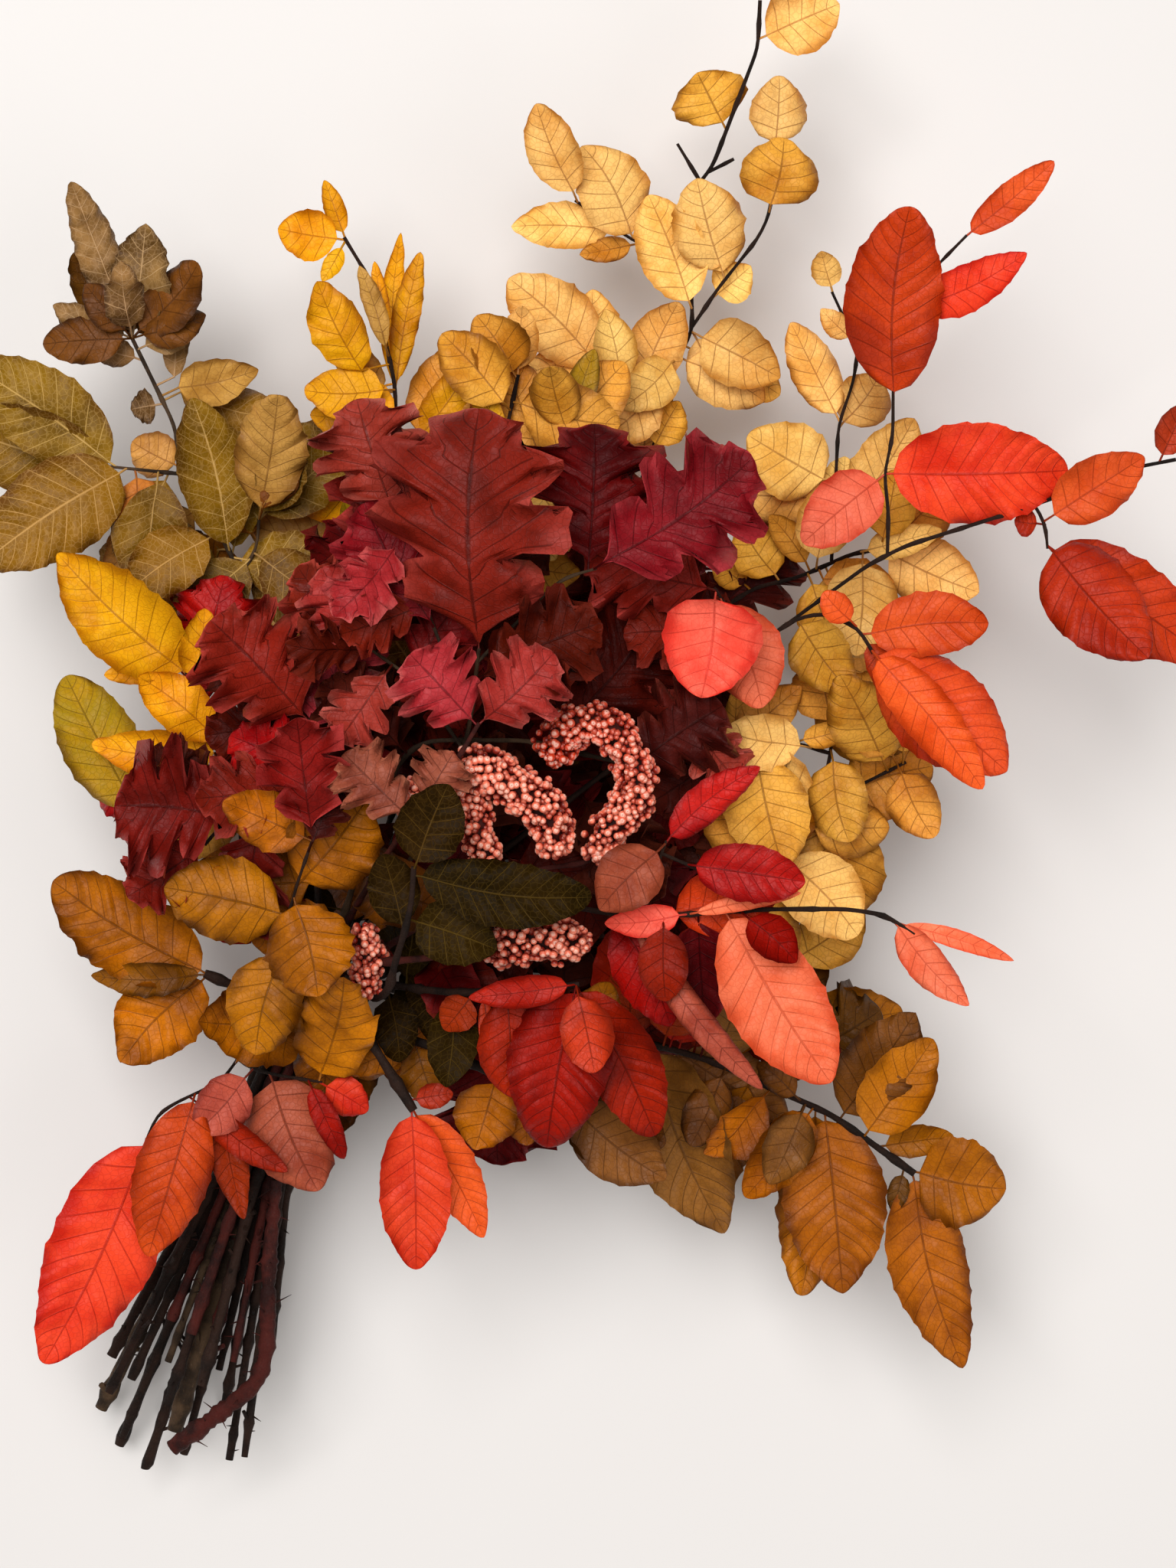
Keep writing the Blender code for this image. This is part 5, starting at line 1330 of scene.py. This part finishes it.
# Smaller leaves that close the gaps under the ones that show, on whatever stem passes there
fillLeaves = [
    {"area": (-122, -10, 62, 118), "heights": (55, 168), "count": 74, "kind": "oak", "length": (36, 62),
     "width": 0.78, "tones": ("wine", "maroon", "wine", "burgundy", "raspberry")},
    {"area": (-182, -30, -96, 64), "heights": (60, 160), "count": 34, "kind": "oak", "length": (36, 58),
     "width": 0.8, "tones": ("wine", "burgundy", "wine", "maroon", "crimson")},
    {"area": (-100, -112, -30, -36), "heights": (60, 160), "count": 16, "kind": "beech", "length": (34, 56),
     "width": 0.6, "tones": ("darkGreen", "darkOchre", "wine")},
    {"area": (-40, -120, 62, -20), "heights": (60, 160), "count": 34, "kind": "beech", "length": (34, 58),
     "width": 0.66, "tones": ("darkRed", "wine", "crimson", "darkRed", "ember")},
    {"area": (-95, -70, 74, 74), "heights": (24, 104), "count": 50, "kind": "oak", "length": (46, 72),
     "width": 0.8, "tones": ("wine", "maroon", "wine")},
    {"area": (-172, -128, -110, -16), "heights": (60, 150), "count": 14, "kind": "beech", "length": (38, 58),
     "width": 0.72, "tones": ("ochre", "darkOchre", "ochre")},
    {"area": (-200, 78, -116, 150), "heights": (60, 140), "count": 30, "kind": "beech", "length": (32, 56),
     "width": 0.62, "tones": ("darkOchre", "olive", "olive", "olive", "tan")},
    {"area": (-236, 196, -184, 262), "heights": (60, 140), "count": 20, "kind": "beech", "length": (26, 46),
     "width": 0.6, "tones": ("crumpled", "crumpled", "brown")},
    {"area": (-128, -128, -58, -36), "heights": (16, 96), "count": 34, "kind": "beech", "length": (42, 66),
     "width": 0.64, "tones": ("darkOchre", "wine", "darkGreen")},
    {"area": (-66, -108, 52, 34), "heights": (6, 74), "count": 40, "kind": "oak", "length": (54, 84),
     "width": 0.84, "tones": ("wine", "maroon", "wine")},
    {"area": (-120, 100, -20, 190), "heights": (60, 130), "count": 16, "kind": "beech", "length": (30, 48),
     "width": 0.66, "tones": ("goldBrown", "yellow", "darkGold", "oliveYellow")},
    {"area": (-40, 110, 70, 200), "heights": (60, 110), "count": 20, "kind": "beech", "length": (30, 48),
     "width": 0.72, "tones": ("goldBrown", "gold", "gold")},
    {"area": (60, 70, 150, 150), "heights": (60, 110), "count": 14, "kind": "beech", "length": (30, 46),
     "width": 0.74, "tones": ("gold", "gold", "darkGold")},
    {"area": (40, -60, 150, 60), "heights": (60, 130), "count": 28, "kind": "beech", "length": (32, 54),
     "width": 0.74, "tones": ("goldBrown", "gold", "darkGold")},
    {"area": (-20, -170, 140, -90), "heights": (60, 130), "count": 22, "kind": "beech", "length": (34, 58),
     "width": 0.62, "tones": ("amber", "taupe", "brown", "amber", "ochre")},
]

fillRoom = {
    "seed": 2600,
    "reach": 22.0,          # how far from its stem a place may lie
    "petiole": 4.0,
    "berries": 15.0,        # kept clear round a berry head
    "low": 110.0,           # from this height up it could hide one
    "choices": 220,
    "highest": 192.0,
}


def highestOf(pose):
    return max(point.z for point in bladeMesh(pose)[0])


# Whether a leaf would hide a berry head, seen from above
def overBerries(leaf):
    for branch in branches:
        for head in branch.get("heads", []):
            for point in head[:-1]:
                for share in (0.15, 0.5, 0.85):
                    x = leaf[0] + (leaf[2] - leaf[0]) * share
                    y = leaf[1] + (leaf[3] - leaf[1]) * share
                    if math.hypot(point[0] - x, point[1] - y) < fillRoom["berries"] + leaf[4] * 0.3:
                        return True
    return False


# Place the fill leaves, and give the tones of each branch's own
def placeFill(tubesByName, poses, blocked):
    draw = random.Random(fillRoom["seed"])
    choices = tiltChoices()[:fillRoom["choices"]]
    fillTones = {branch["name"]: [] for branch in branches}
    count = 0
    for zone in fillLeaves:
        low, high = zone["heights"]
        for _ in range(zone["count"]):
            x = draw.uniform(zone["area"][0], zone["area"][2])
            y = draw.uniform(zone["area"][1], zone["area"][3])
            length = draw.uniform(*zone["length"])
            turn = draw.uniform(0, 2 * math.pi)
            tone = draw.choice(zone["tones"])
            near = []
            for branch in branches:
                if branch.get("heads"):
                    continue
                root = nearestOnTubes(tubesByName[branch["name"]], x, y)
                far = (root.xy - Vector((x, y))).length
                if low < root.z < high and far < fillRoom["reach"]:
                    near.append((-root.z, branch["name"], root))
            if not near:
                continue
            _, name, root = min(near, key=lambda item: item[:2])
            toward = Vector((x, y)) - root.xy
            if toward.length < 6:
                toward = Vector((math.cos(turn), math.sin(turn)))
            start = root.xy + toward.normalized() * fillRoom["petiole"]
            tip = start + toward.normalized() * length
            leaf = (start.x, start.y, tip.x, tip.y, zone["width"] * length)
            if overBerries(leaf) and root.z > fillRoom["low"]:
                continue
            dice = leafDice(zone["kind"], 400 + count, 60, False)
            pose = firstClearPose(leaf, root, zone["kind"], 0, dice, name, choices, blocked)
            if pose is not None and highestOf(pose) < fillRoom["highest"]:
                pose["fill"] = True
                keepPose(pose, name, poses, blocked)
                fillTones[name].append(tone)
                count += 1
    print("fill leaves placed:", count)
    return fillTones


# Making the branches

branchBark = {
    "grey": ("burgundy_oak_branch_top", "burgundy_oak_branch_inner", "olive_beech_branch"),
    "red": ("berry_branch_left", "berry_branch_right", "berry_branch_low", "burgundy_oak_branch_centre"),
}


def makeBranches():
    tubesByName = {branch["name"]: branchTubes(branch) for branch in branches}
    blocked = []
    for branchNumber, branch in enumerate(branches):
        for number, (path, startRadius, endRadius) in enumerate(tubesByName[branch["name"]]):
            radii = stemRadii(path, startRadius, endRadius, number == 0, branchNumber)
            room = [radius + placing["clearance"] for radius in radii]
            tree = solidTree(tubeMesh(path, room, stems["roomSides"]))
            blocked.append(dict(name=branch["name"], whole=tree, outer=tree))
        for head in branch.get("heads", []):
            path = smoothPath(head[:-1], heads["spacing"])
            reach = head[-1] + heads["rise"] + placing["clearance"]
            tree = solidTree(tubeMesh(path, [reach] * len(path), heads["sides"]))
            blocked.append(dict(name=branch["name"], whole=tree, outer=tree))
    poses, dropped = placeLeaves(tubesByName, blocked)
    print("leaves placed:", sum(len(some) for some in poses.values()), "left out:", len(dropped))
    fillTones = placeFill(tubesByName, poses, blocked)

    leafMaterials = {tone: leafMaterial(tone + "Leaf", values) for tone, values in leafTones.items()}
    barks = {name: barkMaterial(name, values) for name, values in barkTones.items()}
    berrySkin = berryMaterial()
    print("materials made:", len(leafMaterials) + len(barks) + 1)

    balls = [ballShape(1), ballShape(2)]
    for number, branch in enumerate(branches):
        name = branch["name"]
        draw = random.Random(500 + number)
        bark = "darkBark"
        if name in branchBark["grey"]:
            bark = "greyBark"
        if name in branchBark["red"]:
            bark = "redBark"
        tones = branch.get("tones", "").split() + fillTones[name]
        used = sorted(set(tones))
        materials = [barks[bark]] + [leafMaterials[tone] for tone in used] + [berrySkin]
        mesh = newMesh()
        prickly = branch["row"] in fineStem["prickleRows"]
        for count, tube in enumerate(tubesByName[name]):
            addStem(mesh, tube, count == 0, number, name, draw, prickly and count == 0)
        if name == fineStem["crooked"]["branch"]:
            addCrooked(mesh, draw)
        for pose, tone in zip(poses[name], tones):
            addLeaf(mesh, pose, tone, 1 + used.index(tone), draw)
        for head in branch.get("heads", []):
            addHead(mesh, head, fineBerry["tint"][name], len(materials) - 1, 0, balls, draw)
        piece = finishMesh(name + "_fine", mesh, materials)
        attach(piece, "root")
        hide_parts(name)
    print("branches made:", len(branches))


makeBranches()


# Floor, light and camera

studio = {
    "floorSize": 8.0,
    "floorColour": (226, 222, 219),
    "sky": 0.31,
    "lampPlace": (-0.45, 0.62, 2.3),
    "lampSize": 1.6,
    "lampPower": 58.0,
    "fillPlace": (1.3, -0.9, 1.7),
    "fillPower": 12.0,
    "skyColour": (255, 252, 248),
    "floorRoughness": 0.9,
    "lens": 50.0,           # with the sensor's 36 mm on the picture's long side
    "sensor": 36.0,
}


def makeFloor():
    size = studio["floorSize"] / 2
    data = bpy.data.meshes.new("floor")
    corners = [(-size, -size, 0), (size, -size, 0), (size, size, 0), (-size, size, 0)]
    data.from_pydata(corners, [], [(0, 1, 2, 3)])
    floor = bpy.data.objects.new("floor", data)
    bpy.context.scene.collection.objects.link(floor)
    material, tree, shader = newMaterial("paleFloor")
    place = addNode(tree, "ShaderNodeTexCoord").outputs["Object"]
    cloud = noiseAt(tree, place, 3.0, 2.0, 0.5)
    first = paint(*studio["floorColour"])
    second = tuple(channel * 0.97 for channel in first[:3]) + (1.0,)
    tree.links.new(mixColours(tree, cloud, first, second), shader.inputs["Base Color"])
    shader.inputs["Roughness"].default_value = studio["floorRoughness"]
    data.materials.append(material)


def makeLamp(name, place, power):
    light = bpy.data.lights.new(name, "AREA")
    light.size = studio["lampSize"]
    light.energy = power
    lamp = bpy.data.objects.new(name, light)
    lamp.location = place
    lamp.rotation_mode = "QUATERNION"
    lamp.rotation_quaternion = (-Vector(place)).to_track_quat("-Z", "Y")
    bpy.context.scene.collection.objects.link(lamp)


def makeCamera():
    data = bpy.data.cameras.new("camera")
    data.sensor_width = studio["sensor"]
    data.lens = studio["lens"]
    camera = bpy.data.objects.new("camera", data)
    x, y = view["layCentre"]
    camera.location = Vector((-x, -y, view["eyeDistance"] + view["gripHeight"])) * 0.001
    bpy.context.scene.collection.objects.link(camera)
    bpy.context.scene.camera = camera


def makeSky():
    world = bpy.data.worlds.new("softSky")
    world.use_nodes = True
    world.node_tree.nodes["Background"].inputs[0].default_value = paint(*studio["skyColour"])
    world.node_tree.nodes["Background"].inputs[1].default_value = studio["sky"]
    bpy.context.scene.world = world


makeFloor()
makeLamp("softBox", studio["lampPlace"], studio["lampPower"])
makeLamp("fillBox", studio["fillPlace"], studio["fillPower"])
makeSky()
makeCamera()
bpy.context.scene.view_settings.view_transform = "Standard"
print("studio ready")
